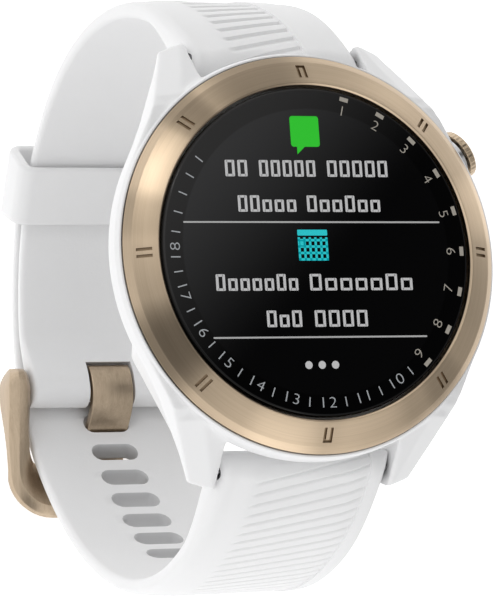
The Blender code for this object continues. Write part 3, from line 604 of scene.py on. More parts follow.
circle_marks, given, made = open_tree("marks on a circle", "GeometryNodeTree", [
    ("Count", "Int", 8), ("First angle", "Float", 0.0), ("Step", "Float", 0.0), ("Radius", "Float", 0.01),
    ("Height", "Float", 0.0), ("Size", "Vector", (0.001, 0.001, 0.001)), ("Sideways", "Float", 0.0),
    ("Tilt", "Float", 0.0), ("Material", "Material", None),
])
tree = circle_marks
line = put(tree, "GeometryNodeMeshLine", {"Count": given["Count"]}).outputs[0]
index = put(tree, "GeometryNodeInputIndex").outputs[0]
angle = sum_up(tree, "MULTIPLY_ADD", index, given["Step"], given["First angle"])
spoke = xyz(tree, X=sum_up(tree, "MULTIPLY", given["Radius"], sum_up(tree, "COSINE", angle)),
            Y=sum_up(tree, "MULTIPLY", given["Radius"], sum_up(tree, "SINE", angle)), Z=given["Height"])
spots = put(tree, "GeometryNodeSetPosition", {"Geometry": line, "Position": spoke}).outputs[0]
brick = put(tree, "GeometryNodeTransform", {
    "Geometry": put(tree, "GeometryNodeMeshCube", {"Size": given["Size"]}).outputs[0],
    "Translation": xyz(tree, Y=given["Sideways"]), "Rotation": xyz(tree, Y=given["Tilt"]),
}).outputs[0]
turned_out = put(tree, "FunctionNodeEulerToRotation", {0: xyz(tree, Z=angle)}).outputs[0]
copies = put(tree, "GeometryNodeInstanceOnPoints", {"Points": spots, "Instance": brick,
                                                    "Rotation": turned_out})
end_tree(tree, copies.outputs[0], given["Material"], made)

# %% [markdown]
# The second tree puts copies of one small piece on the points of a mesh. Each point carries its
# own turn about X, because the strap's slots lean round the loop. Screws, charging contacts and
# slot cutters all come from it.

# %% Tree: pieces on points
point_pieces, given, made = open_tree("pieces on points", "GeometryNodeTree",
                                      [("Piece", "Object", None), ("Material", "Material", None)])
tree = point_pieces
turned_out = put(tree, "FunctionNodeEulerToRotation", {0: xyz(tree, X=stored(tree, "lean"))}).outputs[0]
piece = put(tree, "GeometryNodeObjectInfo", {"Object": given["Piece"]}).outputs["Geometry"]
copies = put(tree, "GeometryNodeInstanceOnPoints",
             {"Points": given["Geometry"], "Instance": piece, "Rotation": turned_out})
end_tree(tree, copies.outputs[0], given["Material"], made)


# %% Run a tree
def grow(name, tree, values, mesh=None):
    """Run a tree on a mesh and take the result as a plain mesh. values are its named inputs."""
    worker = loose(name, mesh or bpy.data.meshes.new(name))
    step = modify(worker, "NODES", node_group=tree)
    for socket in tree.interface.items_tree:
        if socket.in_out == "INPUT" and socket.name in values:
            step[socket.identifier] = values[socket.name]
    return taken(worker, name)


def points_mesh(places, leans=None):
    """A mesh of points only, each with its turn about X."""
    mesh = bpy.data.meshes.new("points")
    mesh.from_pydata([tuple(place) for place in places], [], [])
    mesh.attributes.new("lean", "FLOAT", "POINT").data.foreach_set("value", leans or [0.0] * len(places))
    return mesh


def scatter(name, piece_mesh, places, look, leans=None):
    """Copies of a piece on points, as one mesh."""
    piece = loose("piece", piece_mesh)
    mesh = grow(name, point_pieces, {"Piece": piece, "Material": look}, points_mesh(places, leans))
    bpy.data.objects.remove(piece, do_unlink=True)
    return mesh


print("trees can be run")

# %% [markdown]
# ## Case
# The case is one moulding: a round shell with four faceted lugs that run into it. Joining exact
# solids would leave knife edges where a moulding has small radii. So the shell and the lugs are
# put together, remeshed into one skin of tiny squares and smoothed a little, which rounds every
# edge alike. Then the cavity, the gap for the antenna and the bores are cut out of it.

# %% Lug facets
CASE_R = 21.7
BAR_Y, BAR_Z = 21.8 * MM, 2.6 * MM


def lug_rings():
    """Rings of a lug at +X, +Y: inner foot, inner top, ridge, outer top, outer low, outer foot."""
    rings = []
    for y in (4.0, 7.0, 9.5, 12.0, 14.5, 16.0, 17.2, 18.6, 20.0):
        outer = min(12.7 + (23.1 - y) * 0.5, 19.5)
        foot = outer - 2.0 - max(9.5 - y, 0) * 0.2
        ridge = min(13.7 - (y - 16.1) * 0.45, outer - 1.5)
        slope_top = min(9.1 - (y - 16.6) * 0.833, 8.6)
        outer_top = min(4.95 - (y - 20.04) * 0.8, 8.6)
        outer_low = min(2.5 + (23.1 - y) * 0.42, 6.6)
        outer_top = min(outer_top, slope_top - 0.04)
        rings.append([(10, y, 0.6), (10, y, slope_top), (ridge, y, slope_top - 0.02), (outer, y, outer_top),
                      (outer, y, min(outer_low, outer_top - 0.5)), (foot, y, 0.6)])
    rings.append([(10, 23.2, 0.4), (10, 24.0, 2.75), (10.45, 23.8, 3.1), (12.7, 23.1, 2.4),
                  (12.65, 22.95, 1.7), (11.5, 22.4, 0.4)])
    return rings


lugs = []
for side in (1, -1):
    for end in (1, -1):
        lugs.append(stack("lug", [mm(*[(side * x, end * y, z) for x, y, z in ring]) for ring in lug_rings()]))
print("lugs:", len(lugs))

# %% Shell and lugs as one skin
shell_profile = rounded(mm(
    (0, 8.66), (CASE_R, 8.66, 0.30), (CASE_R, 6.3, 0.8), (20.6, 5.3, 3), (19.3, 4.0, 3), (18.5, 2.4, 3),
    (17.9, 0.9, 1), (17.6, 0.2, 0.3), (0, 0.2)))


def merged(name, meshes):
    """Several meshes as one, without joining their surfaces."""
    work = bmesh.new()
    for mesh in meshes:
        work.from_mesh(mesh)
    whole = bpy.data.meshes.new(name)
    work.to_mesh(whole)
    work.free()
    return whole


worker = loose("case skin", merged("case skin", [turned("shell", shell_profile, 256)] + lugs))
modify(worker, "REMESH", mode="VOXEL", voxel_size=0.2 * MM, use_smooth_shade=True)
modify(worker, "SMOOTH", iterations=5, factor=0.5)
modify(worker, "DECIMATE", ratio=0.55)
case_skin = taken(worker, "case_shell")
print("case skin faces:", len(case_skin.polygons))

# %% Hollow the case and add its turned lip
inside = turned("inside", mm((0, 12), (16.2, 12), (16.2, 7.6), (17.7, 7.6), (17.7, 2.6), (13.4, 2.6),
                             (13.4, 1.6), (16.9, 1.6), (16.9, -1), (0, -1)), 128)
antenna_gap = turned("antenna gap", mm((19.0, 7.65), (20.4, 7.65), (20.4, 12), (19.0, 12)), 128)
PRESS_AXIS = (cos(radians(30)), sin(radians(30)), 0)
PRESS_Z = 6.0 * MM


def on_press_axis(distance):
    """The place on the button's axis at a distance from the middle of the case, +Z outwards."""
    return facing((distance * PRESS_AXIS[0], distance * PRESS_AXIS[1], PRESS_Z), PRESS_AXIS)


def rod(radius, start, end, place=None, sides=24):
    """A plain round cutter between two heights of its own axis, in millimetres."""
    return turned("rod", mm((0, end), (radius, end), (radius, start), (0, start)), sides, place)


bores = [rod(0.5, -1.3, 1.3, facing((side * 10 * MM, end * BAR_Y, BAR_Z), (1, 0, 0)))
         for side in (1, -1) for end in (1, -1)]
bores += [rod(1.2, 15, 21, on_press_axis(0)), rod(2.5, 19.6, 24, on_press_axis(0), 48)]
hollow = carve(case_skin, inside, antenna_gap, *bores)
lip = turned("lip", rounded(mm((20.5, 8.5), (21.25, 8.5), (21.27, 9.02, 0.06), (21.5, 8.98, 0.12),
                               (21.66, 8.4), (21.3, 8.3))), 256)
neck = turned("neck", rounded(mm((16.2, 8.0), (16.2, 9.3, 0.1), (17.5, 9.3, 0.1), (17.5, 8.0))), 192)
case_mesh = shaded(merged("case_shell", [hollow, lip, neck]), 40)
settle("case_shell", case_mesh, white_case, "case", "white_case", "case_body")

# %% [markdown]
# ## Bezel
# The bezel is a turned metal ring with a sloping face, a narrow outer band and a small bright
# chamfer at the glass. Eight pairs of short grooves are engraved in the slope. The ring is a
# rounded profile turned in 320 steps; the grooves are blocks from the first tree, cut out with
# a darker finish on their floors, which is partly mark paint and partly painted shade.

# %% Bezel
bezel_profile = rounded(mm((17.8, 9.2), (17.8, 11.08, 0.06), (18.02, 11.3, 0.10), (20.5, 9.86, 0.12),
                           (21.2, 9.28, 0.14), (21.2, 8.96, 0.06), (17.9, 8.96), (17.8, 9.0)))
ring = turned("bezel", bezel_profile, 320)
ring.materials.append(gold_turned)
slope = atan2(11.3 - 9.85, 20.5 - 18.0)
groove = {"Count": 8, "First angle": 0.0, "Step": radians(45), "Radius": 19.35 * MM, "Height": 10.51 * MM,
          "Size": (1.7 * MM, 0.32 * MM, 0.5 * MM), "Tilt": slope, "Material": groove_floor_paint_and_shade}
pair = [grow("grooves", circle_marks, {**groove, "Sideways": side * 0.36 * MM}) for side in (1, -1)]
bars = grow("groove bars", circle_marks, {
    **groove, "Count": 2, "First angle": radians(90), "Step": pi, "Radius": 19.94 * MM, "Height": 10.17 * MM,
    "Size": (0.34 * MM, 0.72 * MM, 0.49 * MM),
})
settle("bezel", shaded(carve(ring, *pair, bars), 28), gold_turned, "case", "brushed_gold", "bezel_ring")

# %% [markdown]
# ## Glass
# The cover glass is a flat disc with a ground edge. It fills the bezel's bore but for a hair
# gap, which reads as a dark line and keeps the two materials apart.

# %% Glass
GLASS_TOP = 11.1
glass_profile = rounded(mm((0, GLASS_TOP), (17.5, GLASS_TOP, 0.3), (17.5, 10.0, 0.1), (0, 10.0)), 6)
glass_disc = turned("watch_glass", glass_profile, 256)
settle("watch_glass", glass_disc, black_glass, "case", "black_glass", "cover_lens")
PRINT_Z = GLASS_TOP * MM + 0.012 * MM

# %% [markdown]
# ## Dial print
# Eighteen hole numbers run round the dial, as on a course. One to nine have a pale block outside
# them, and the rest have thin ticks between them. The numbers are font text made into meshes;
# blocks and ticks come from the tree for marks on a circle, as thin plates just over the glass.

# %% Ticks and blocks
plate = 0.016 * MM
tick = {"Height": PRINT_Z, "Size": (1.0 * MM, 0.125 * MM, plate), "Radius": 16.05 * MM,
        "Material": silver_ink}
rows = [(9, 90 - 142.5, -15, {}), (5, 90 - 277.5, -7.5, {}),
        (9, 75, -15, {"Radius": 16.8 * MM, "Size": (0.45 * MM, 0.98 * MM, plate), "Material": beige_ink})]
grown = [grow("marks", circle_marks,
              {**tick, "Count": count, "First angle": radians(first), "Step": radians(step), **more})
         for count, first, step, more in rows]
for name, some, look in (("dial_ticks", grown[:2], silver_ink), ("dial_blocks", grown[2:], beige_ink)):
    settle(name, merged(name, some), look, "case", "black_glass")


# %% Hole numbers
def number_mesh(text, size, place):
    """Extruded number with its middle at the origin, made a mesh before it is placed."""
    data = bpy.data.curves.new("number", "FONT")
    for setting, value in {"body": text, "size": size, "align_x": "CENTER", "align_y": "CENTER",
                           "extrude": plate / 2, "offset": -0.025 * MM, "space_character": 1.15}.items():
        setattr(data, setting, value)
    mesh = taken(loose("number", data), "number")
    mesh.transform(place @ Matrix.Diagonal((1.18, 1.0, 1.0, 1.0)))
    return mesh


numbers = []
for hole in range(1, 19):
    angle = radians(90 - 15 * hole)
    outward = hole < 7 or hole == 18
    radius = (15.5 if hole < 10 else 16.05) * MM
    turn = angle - pi / 2 if outward else angle + pi / 2
    spot = Matrix.Translation((radius * cos(angle), radius * sin(angle), PRINT_Z))
    size = (1.55 if hole < 10 else 1.65) * MM
    numbers.append(number_mesh(str(hole), size, spot @ Matrix.Rotation(turn, 4, "Z")))
for name, some, look in (("dial_numbers_front", numbers[:9], beige_ink),
                         ("dial_numbers_back", numbers[9:], silver_ink)):
    settle(name, merged(name, some), look, "case", "black_glass")

# %% [markdown]
# ## What the display shows
# The display shows a notice: two icons, lines of text, thin rules and three dots. Real words
# have no place on a reusable part, so each word is a row of empty boxes as tall as small and
# tall letters. Every symbol is a thin plate with rounded corners.

# %% Display symbols
def plate_mesh(outline):
    """A thin plate just over the glass from an outline of (x, y) points in millimetres."""
    work = bmesh.new()
    face = work.faces.new([work.verts.new((x * MM, y * MM, PRINT_Z)) for x, y in outline])
    raised = [item for item in bmesh.ops.extrude_face_region(work, geom=[face])["geom"]
              if isinstance(item, bmesh.types.BMVert)]
    bmesh.ops.translate(work, vec=(0, 0, plate), verts=raised)
    return mesh_from(work, "plate")


def soft_box(x0, y0, x1, y1, radius):
    """Outline of a rectangle with round corners."""
    middle = ((x0 + x1) / 2, y0)
    corners = [middle, (x1, y0, radius), (x1, y1, radius), (x0, y1, radius), (x0, y0, radius), middle]
    return rounded(corners)[:-1]


def greeked(left, right, base, letters, tall):
    """Outlines of the empty boxes for a word: one for each letter, in a fixed pattern of heights."""
    pitch = (right - left) / letters
    strokes = []
    for index in range(letters):
        full = tall or index == 0 or (index * 7 + letters) % 5 == 2
        top = base + (1.75 if full else 1.3)
        x, far = left + index * pitch, left + (index + 0.76) * pitch
        strokes += [soft_box(x, base, x + 0.3, top, 0.12), soft_box(far - 0.3, base, far, top, 0.12),
                    soft_box(x + 0.2, top - 0.26, far - 0.2, top, 0.05),
                    soft_box(x + 0.2, base, far - 0.2, base + 0.26, 0.05)]
    return strokes


def symbol(name, outlines, look):
    """One lit piece of the display from its outlines."""
    settle(name, merged(name, [plate_mesh(outline) for outline in outlines]), look, "case", "screen")


WORDS = [(-9.86, -7.0, 7.95, 2, True), (-5.98, 0.79, 7.95, 5, True), (1.83, 9.16, 7.95, 5, True),
         (-8.67, -1.7, 4.2, 5, False), (-0.78, 8.02, 4.2, 6, False),
         (-11.79, -2.13, -4.15, 7, False), (-1.1, 11.18, -4.15, 7, False),
         (-6.3, -1.97, -8.0, 3, False), (-0.82, 5.63, -8.0, 4, True)]
turns = [2 * pi * step / 20 for step in range(20)]
dots = [[(x + 0.42 * cos(turn), -12.03 + 0.42 * sin(turn)) for turn in turns] for x in (-1.9, -0.38, 1.15)]
symbol("display_words", [stroke for word in WORDS for stroke in greeked(*word)] + dots, lit_white)
rules = [soft_box(-15.0, 3.02, 14.45, 3.2, 0.05), soft_box(-12.5, -9.18, 12.0, -9.0, 0.05)]
symbol("display_rules", rules, lit_grey)
bubble = rounded([(-0.4, 14.43), (1.2, 14.43, 0.3), (1.2, 11.15, 0.3), (-0.55, 11.15), (-1.45, 10.35),
                  (-1.45, 11.15), (-2.11, 11.15, 0.3), (-2.11, 14.43, 0.3), (-0.4, 14.43)])[:-1]
settle("display_bubble", plate_mesh(bubble), lit_green, "case", "screen")
columns = [soft_box(x, -0.98, x + 0.26, 1.5, 0.04) for x in [-2.14 + 0.632 * step for step in range(6)]]
rows = [soft_box(-2.14, y, 1.28, y + 0.26, 0.04) for y in (-0.98, -0.3, 0.38, 1.06)]
page = [soft_box(-2.14, 1.68, 1.28, 2.3, 0.08), soft_box(-2.0, 0.5, -1.3, 1.2, 0.05)]
symbol("display_calendar", columns + rows + page, lit_teal)

# %% [markdown]
# ## Case back
# The back cover is a shallow moulded disc held by four screws, with a recess for the charging
# clip and four sprung contacts in it. The cover is turned and the recess and screw seats are
# cut; screws and contacts are one turned piece each, copied by the second tree.

# %% Back cover
PORT_Y = -9.0 * MM
SCREW_ORBIT = 14.7 * MM
screw_turns = [radians(turn) for turn in (38, 142, 218, 322)]
screw_spots = [(SCREW_ORBIT * cos(turn), SCREW_ORBIT * sin(turn), 0) for turn in screw_turns]
contact_spots = [(1.8 * MM * (index - 1.5), PORT_Y, 0) for index in range(4)]
cover = turned("back_cover", rounded(mm(
    (0, 1.3), (15.85, 1.3), (15.85, 0.85), (16.45, 0.85), (16.45, 1.3), (16.75, 1.3, 0.1), (16.75, 0.3, 0.2),
    (16.45, 0, 0.3), (0, 0))), 192)
seat = turned("seat", mm((0, 0.6), (1.0, 0.6), (1.0, 0.05), (1.12, -0.05), (1.12, -1), (0, -1)), 32)
port_outline = soft_box(-4.0, -10.3, 4.0, -7.7, 0.6)
port = stack("port", [mm(*[(x, y, z) for x, y in port_outline]) for z in (-0.6, 0.6)])
cuts = [scatter("cuts", tool, spots, white_case) for tool, spots in (
    (seat, screw_spots), (rod(0.7, -1, 2), screw_spots), (rod(0.55, -1, 2), contact_spots))]
cover = carve(cover, port, *cuts, look=white_case)
settle("back_plate", shaded(cover, 35), white_case, "case", "white_case", "back_cover")

# %% Screws and contacts
def hex_lobes(radius, height, angle):
    """Six lobes round the socket of a screw."""
    return 0.05 * MM * cos(6 * angle) if 0.3 * MM < radius < 0.46 * MM else 0


screw = turned("screw", rounded(mm((0, 2.98), (0.55, 2.98), (0.55, 0.58), (0.88, 0.58), (0.88, 0.18, 0.12),
                                   (0.45, 0.18, 0.03), (0.4, 0.45), (0, 0.45))), 48,
               wave=hex_lobes)
contact = turned("contact", rounded(mm((0, 1.75), (0.75, 1.75), (0.75, 1.45), (0.45, 1.45),
                                       (0.45, 0.35, 0.25), (0, 0.35))), 32)
for name, piece, spots, look, slot, node in (
        ("back_screws", screw, screw_spots, steel, "bright_steel", "back_screw"),
        ("charging_contacts", contact, contact_spots, contact_gold, "contact_gold", "charge_contact")):
    settle(name, scatter(name, piece, spots, look), look, "case", slot,
           *[f"{node}_{index}" for index in range(1, 5)])

# %% [markdown]
# ## Button
# One button stands out at two o'clock: a gold cap with a finely fluted rim, over a bright bush
# pressed into the case. The flutes are a small wave added to the cap's radius as it is turned.

# %% Button
def flutes(radius, height, angle):
    """Thirty-two shallow flutes round the rim of the cap."""
    return -0.03 * MM * (1 + cos(32 * angle)) if radius > 2.6 * MM and height < 0.7 * MM else 0


cap_profile = rounded(mm((0, 1.0), (2.25, 1.0, 0.12), (2.7, 0.68, 0.12), (2.7, 0, 0.08), (2.48, 0),
                         (2.48, 0.6), (2.2, 0.65), (0, 0.65)))
cap = turned("cap", cap_profile, 192, on_press_axis(22.4 * MM), wave=flutes)
settle("button_top", cap, gold_cap, "button", "brushed_gold", "button_cap")
bush_profile = rounded(mm((1.75, 22.35, 0.05), (2.2, 22.35, 0.05), (2.36, 22.2, 0.05), (2.36, 19.75),
                          (1.75, 19.75), (1.75, 22.3)))
bush = turned("bush", bush_profile, 96, on_press_axis(0))
settle("button_bush", bush, steel, "case", "bright_steel", "button_collar")

# %% [markdown]
# ## Strap
# Both strap halves follow one circle below the case. Each is a stack of ring sections along its
# length: a nearly flat inner face, a crowned outer face and soft edges. On the ribbed stretch the
# outer points are slid along the loop in step with their place across it, so that rows of points
# lie along the slanting ribs and the pressed grooves come out crisp.

# %% The strap's outline, as in the CAD part
LOOP_Z = -19.5 * MM
LOOP_R = 30.8 * MM
BAR_ORBIT = hypot(BAR_Y, BAR_Z - LOOP_Z)
BAR_ANGLE = pi - acos((BAR_Z - LOOP_Z) / BAR_ORBIT)
END_R = 2.0 * MM
PIN_ANGLE, PIN_ORBIT = radians(-10.9), 30.6 * MM
BARREL_R = 1.9 * MM
THICK = 2.0 * MM
LUG_BLEND = (radians(112), radians(131))
TAIL_INNER, TAIL_THICK, TAIL_END = 32.8 * MM, 1.7 * MM, radians(34)


def on_loop(radius, angle):
    """(y, z) on the strap loop: angle 0 is its lowest point and +90 is to 12 o'clock."""
    return Vector((radius * sin(angle), LOOP_Z - radius * cos(angle)))


def ease(value, low, high):
    """A share that runs softly from 0 to 1 while the value runs from low to high."""
    share = min(max((value - low) / (high - low), 0.0), 1.0)
    return share * share * (3 - 2 * share)


def short_inner(angle):
    at_lug = ease(angle, *LUG_BLEND) * (LOOP_R - BAR_ORBIT + END_R)
    return LOOP_R - at_lug - (1 - ease(angle, radians(-9), radians(3))) * (LOOP_R - PIN_ORBIT + BARREL_R)


def short_outer(angle):
    body = 32.45 * MM + ease(angle, radians(45), radians(62)) * 0.35 * MM
    return body + ease(angle, *LUG_BLEND) * (BAR_ORBIT + END_R - LOOP_R - THICK)


def long_inner(angle):
    at_lug = ease(-angle, *LUG_BLEND) * (LOOP_R - BAR_ORBIT + END_R)
    flat = ease(angle, radians(-100), radians(-60)) * 0.7 * MM
    rise = min(max((angle - radians(-56)) / radians(48), 0.0), 1.0) ** 1.4
    return LOOP_R - at_lug - flat + ease(rise, 0, 1) * (TAIL_INNER - LOOP_R + 0.7 * MM)


def long_outer(angle):
    taper = ease(angle, radians(-45), radians(-15)) * (THICK - TAIL_THICK)
    return long_inner(angle) + THICK - taper + ease(-angle, *LUG_BLEND) * (2 * END_R - THICK)


print("spring bars turn", round(BAR_ORBIT / MM, 2), "mm from the middle of the loop")


# %% Walls that run round both ends of a strap half
def end_cap(orbit, angle, radius, facing_way, share, outer):
    """A point on the round end: share runs from 0, at the wall, to 1, at the very tip."""
    turn = share * pi / 2
    side = -1 if outer else 1
    inward, forward = Vector((-sin(angle), cos(angle))), Vector((cos(angle), sin(angle))) * facing_way
    return on_loop(orbit, angle) + radius * (side * inward * cos(turn) + forward * sin(turn))


def wall(angle, outer, lines, low_end, high_end):
    """(y, z) of the inner or outer wall at any angle, with the round ends beyond its two limits."""
    line = lines[1] if outer else lines[0]
    for orbit, middle, radius, limit, reach, way in (low_end, high_end):
        beyond = way * (angle - limit)
        if beyond > 0:
            return end_cap(orbit, middle, radius, way, min(beyond / reach, 1.0), outer)
    return on_loop(line(angle), angle)


SHORT_ENDS = ((PIN_ORBIT, PIN_ANGLE, BARREL_R, PIN_ANGLE, radians(5.6), -1),
              (BAR_ORBIT, BAR_ANGLE, END_R, BAR_ANGLE, radians(5.8), 1))
LONG_ENDS = ((BAR_ORBIT, -BAR_ANGLE, END_R, -BAR_ANGLE, radians(5.8), -1),
             (TAIL_INNER + TAIL_THICK / 2, TAIL_END, TAIL_THICK / 2, TAIL_END, radians(2), 1))
print("strap walls are ready")

# %% [markdown]
# The section is a list of places across the strap, each with a share of the way from the outer
# wall to the inner one. The stack also stores two numbers on each point for the rib tree: how
# many rib pitches along it lies, and how strongly the ribs are pressed there.

# %% Strap mesh
HALF_WIDTH = 9.8 * MM
SHOULDER_X = 8.35 * MM
CROWN = 0.1


def section(zone):
    """(x, depth share, on the ribbed face) round the strap, with extra columns at the zone's sides."""
    left, right_side = zone
    columns = [left + (right_side - left) * step / 30 for step in range(31)]
    columns += [left - 0.3 * MM, right_side + 0.04 * MM, right_side + 0.3 * MM]
    columns += [x for x in [(-9.2 + 0.5 * step) * MM for step in range(37)]
                if x < left - 0.5 * MM or x > right_side + 0.5 * MM]
    face = [(x, 0.0, True) for x in sorted(columns) if abs(x) < SHOULDER_X]
    turns = [radians(11.25 * step) for step in range(1, 9)]
    corner = [(SHOULDER_X + (HALF_WIDTH - SHOULDER_X) * sin(turn), 0.46 * (1 - cos(turn)),
               False) for turn in turns]
    low = [(9.25 * MM + 0.55 * MM * sin(turn), 1 - 0.3 * (1 - cos(turn)), False) for turn in reversed(turns)]
    under = [(x * MM, 1.0, False) for x in (9.2, 8, 6, 4, 2, 0, -2, -4, -6, -8, -9.2)]
    return face + corner + low + under + [(-x, share, flag) for x, share, flag in reversed(corner + low)]


def strap_mesh(name, lines, ends, angles, zone, slant, pitch, ribbed):
    """A strap half; ribbed is (first angle, last angle) of its ribs, slant is how far they lean per metre."""
    work = bmesh.new()
    phase = work.verts.layers.float.new("rib_phase")
    press = work.verts.layers.float.new("rib_press")
    centre = (zone[0] + zone[1]) / 2
    rows = []
    for angle in angles:
        begun, ended = ease(angle, ribbed[0] - radians(5), ribbed[0]), ease(angle, ribbed[1],
                                                                            ribbed[1] + radians(5))
        held = begun * (1 - ended)
        row = []
        for x, share, ribbed_face in section(zone):
            inner = wall(angle, False, lines, *ends)
            crown = 0.0
            place = angle
            if ribbed_face:
                across = min(max(x, zone[0]), zone[1]) - centre
                fade = 1 - ease(abs(x), 7.6 * MM, SHOULDER_X + 0.5 * MM)
                place = angle + slant * across * held * fade
                crown = CROWN * ease(abs(x), 5.5 * MM, SHOULDER_X)
            outer = wall(place, True, lines, *ends)
            depth = crown if ribbed_face else 1 - (1 - share) * (1 - CROWN)
            point = outer.lerp(wall(place, False, lines, *ends) if ribbed_face else inner, depth)
            vert = work.verts.new((x, *point))
            vert[phase] = angle / pitch
            in_zone = ribbed_face and zone[0] - 0.001 * MM <= x <= zone[1] + 0.001 * MM
            vert[press] = held * in_zone * ease(x, zone[0] - 0.2 * MM, zone[0] + 0.8 * MM)
            row.append(vert)
        rows.append(row)
    skin_over(work, rows)
    return mesh_from(work, name, 50)


def span(start, end, step):
    """Angles from start to end, in degrees, about a step apart."""
    count = max(1, round(abs(end - start) / step))
    return [radians(start + (end - start) * index / count) for index in range(count)]


print("section points:", len(section((-5.6 * MM, 7.6 * MM))))

# %% [markdown]
# ## Ribs
# The ribs are one groove repeated along the strap. The third tree reads the stored pitch number,
# takes what is left after the whole number, and pushes each point in along its normal: deepest
# at the groove, with a steep wall on one side and a long soft slope on the other.

# %% Tree: pressed ribs
ribs, given, made = open_tree("pressed ribs", "GeometryNodeTree", [
    ("Depth", "Float", 0.0002), ("Groove share", "Float", 0.3), ("Sink", "Float", 0.0001),
    ("Zone middle", "Float", 0.0), ("Zone width", "Float", 0.01), ("Material", "Material", None),
])
STEEP_FROM = 0.88
tree = ribs
part = sum_up(tree, "FRACT", stored(tree, "rib_phase"))
long_side = soft_step(tree, part, 0.0, given["Groove share"], 1.0, 0.0)
valley = sum_up(tree, "MAXIMUM", long_side, soft_step(tree, part, STEEP_FROM, 1.0))
x = parts(tree, put(tree, "GeometryNodeInputPosition").outputs[0])[0]
across = sum_up(tree, "DIVIDE", sum_up(tree, "SUBTRACT", x, given["Zone middle"]), given["Zone width"])
lowered = sum_up(tree, "MULTIPLY", given["Sink"], sum_up(tree, "ADD", across, 0.5))
sunk = sum_up(tree, "MULTIPLY_ADD", valley, given["Depth"], lowered)
pushed = sum_up(tree, "MULTIPLY", sunk, stored(tree, "rib_press"))
inward = vector(tree, "SCALE", put(tree, "GeometryNodeInputNormal").outputs[0],
                Scale=sum_up(tree, "MULTIPLY", pushed, -1.0))
moved = put(tree, "GeometryNodeSetPosition", {"Geometry": given["Geometry"], "Offset": inward}).outputs[0]
end_tree(tree, moved, given["Material"], made)

# %% [markdown]
# ## Short strap
# The half at 12 o'clock ends in a barrel round the buckle pin, with a notch for the tongue. Its
# ribs stop short of a plain band on the right. A window on its inner side lets a fingertip
# reach the knob of the quick-release bar.

# %% Short strap
def ribbed_strap(name, lines, ends, angles, zone, slant, pitch, ribbed, depth, groove, sink):
    """A strap half with its ribs pressed in; slant is in degrees per millimetre, pitch in degrees."""
    plain = strap_mesh(name, lines, ends, angles, zone, radians(slant) / MM, radians(pitch), ribbed)
    return grow(name, ribs, {
        "Depth": depth * MM, "Groove share": groove, "Sink": sink * MM, "Zone middle": sum(zone) / 2,
        "Zone width": zone[1] - zone[0], "Material": white_strap,
    }, plain)


def bar_bores(end):
    """Bore for the spring bar and the window for its knob; end is 1 at 12 o'clock and -1 at 6."""
    away = Vector((0, end * BAR_Y, BAR_Z - LOOP_Z)).normalized()
    middle = Vector((0, end * BAR_Y, BAR_Z))
    tilt = Matrix.Rotation(-end * atan2(BAR_Y, BAR_Z - LOOP_Z), 4, "X")
    knob = Matrix.Translation(middle - away * 2.2 * MM + Vector((6.35 * MM, 0, 0)))
    window = block((3.6 * MM, 1.6 * MM, 4.0 * MM), knob @ tilt)
    return rod(1.05, -15, 15, facing(middle, (1, 0, 0)), 32), window


def loop_block(radii, angles, half_width):
    """A cutter that follows the loop in twelve steps."""
    rings = []
    for step in range(13):
        angle = angles[0] + (angles[1] - angles[0]) * step / 12
        low, high = on_loop(radii[0], angle), on_loop(radii[1], angle)
        rings.append([(-half_width, *low), (half_width, *low), (half_width, *high), (-half_width, *high)])
    return stack("loop block", rings)


pin = on_loop(PIN_ORBIT, PIN_ANGLE)
pin_place = facing((0, *pin), (1, 0, 0))
short_angles = span(-16.5, -10.9, 0.5) + span(-10.9, 8, 0.7) + span(8, 60, 1.0) + span(60, 141.2, 0.3)
short_mesh = ribbed_strap("short_strap", (short_inner, short_outer), SHORT_ENDS,
                          short_angles + [radians(141.2)],
                          (-5.3 * MM, 3.35 * MM), -0.62, 3.6, (radians(66), radians(137.5)), 0.34, 0.40, 0.2)
notch = loop_block((27 * MM, 34.5 * MM), (radians(-20), radians(-4.9)), 2.8 * MM)
short_mesh = carve(short_mesh, *bar_bores(1), notch, rod(0.85, -15, 15, pin_place, 32))
settle("short_strap", shaded(short_mesh, 45), white_strap, "upper_strap", "white_strap", "upper_strap")

# %% [markdown]
# ## Long strap
# The half at 6 o'clock runs under the buckle and through the keeper. Its slots are soft-edged:
# a cutter with a flared mouth, copied along the loop by the second tree, cuts the hole and
# rounds its edge in one go. The cut leaves the cutter's darker white, painted shade, on the walls
# of the slot.

# %% Slot cutter
SLOT_SLANT = 0.3


def slot_cutter():
    """A slot with round ends, 5.4 by 2.2 mm, that leans with the tongue and flares on both sides."""
    mouth = ((1.6, 0.36), (1.05, 0.27), (0.95, 0.16), (0.8, 0.06), (0.6, 0.0))
    rings = []
    for height, grown in [(-height, grown) for height, grown in mouth] + list(reversed(mouth)):
        outline = soft_box(-2.7 - grown, -1.08 - grown, 2.7 + grown, 1.08 + grown, (1.05 + grown) * 0.96)
        drift = SLOT_SLANT * (height - 0.85) if height < 0.85 else 0
        rings.append(mm(*[(x, y + drift, height) for x, y in outline]))
    return stack("slot", rings)


FIRST_SLOT, SLOT_PITCH = radians(-18.2), radians(7.45)
slot_angles = [FIRST_SLOT + index * SLOT_PITCH for index in range(-6, 4)]
slot_spots, slot_leans = [], []
for angle in slot_angles:
    middle = (long_inner(angle) + long_outer(angle)) / 2
    ahead, behind = [on_loop(long_inner(near), near) for near in (angle + 0.02, angle - 0.02)]
    slot_spots.append((0, *on_loop(middle, angle)))
    slot_leans.append(atan2((ahead - behind).y, (ahead - behind).x) + pi)
# The cut carries the cutter's painted shade onto the slot walls.
slots = scatter("slots", slot_cutter(), slot_spots, white_slot, slot_leans)
print("slots:", len(slot_angles))

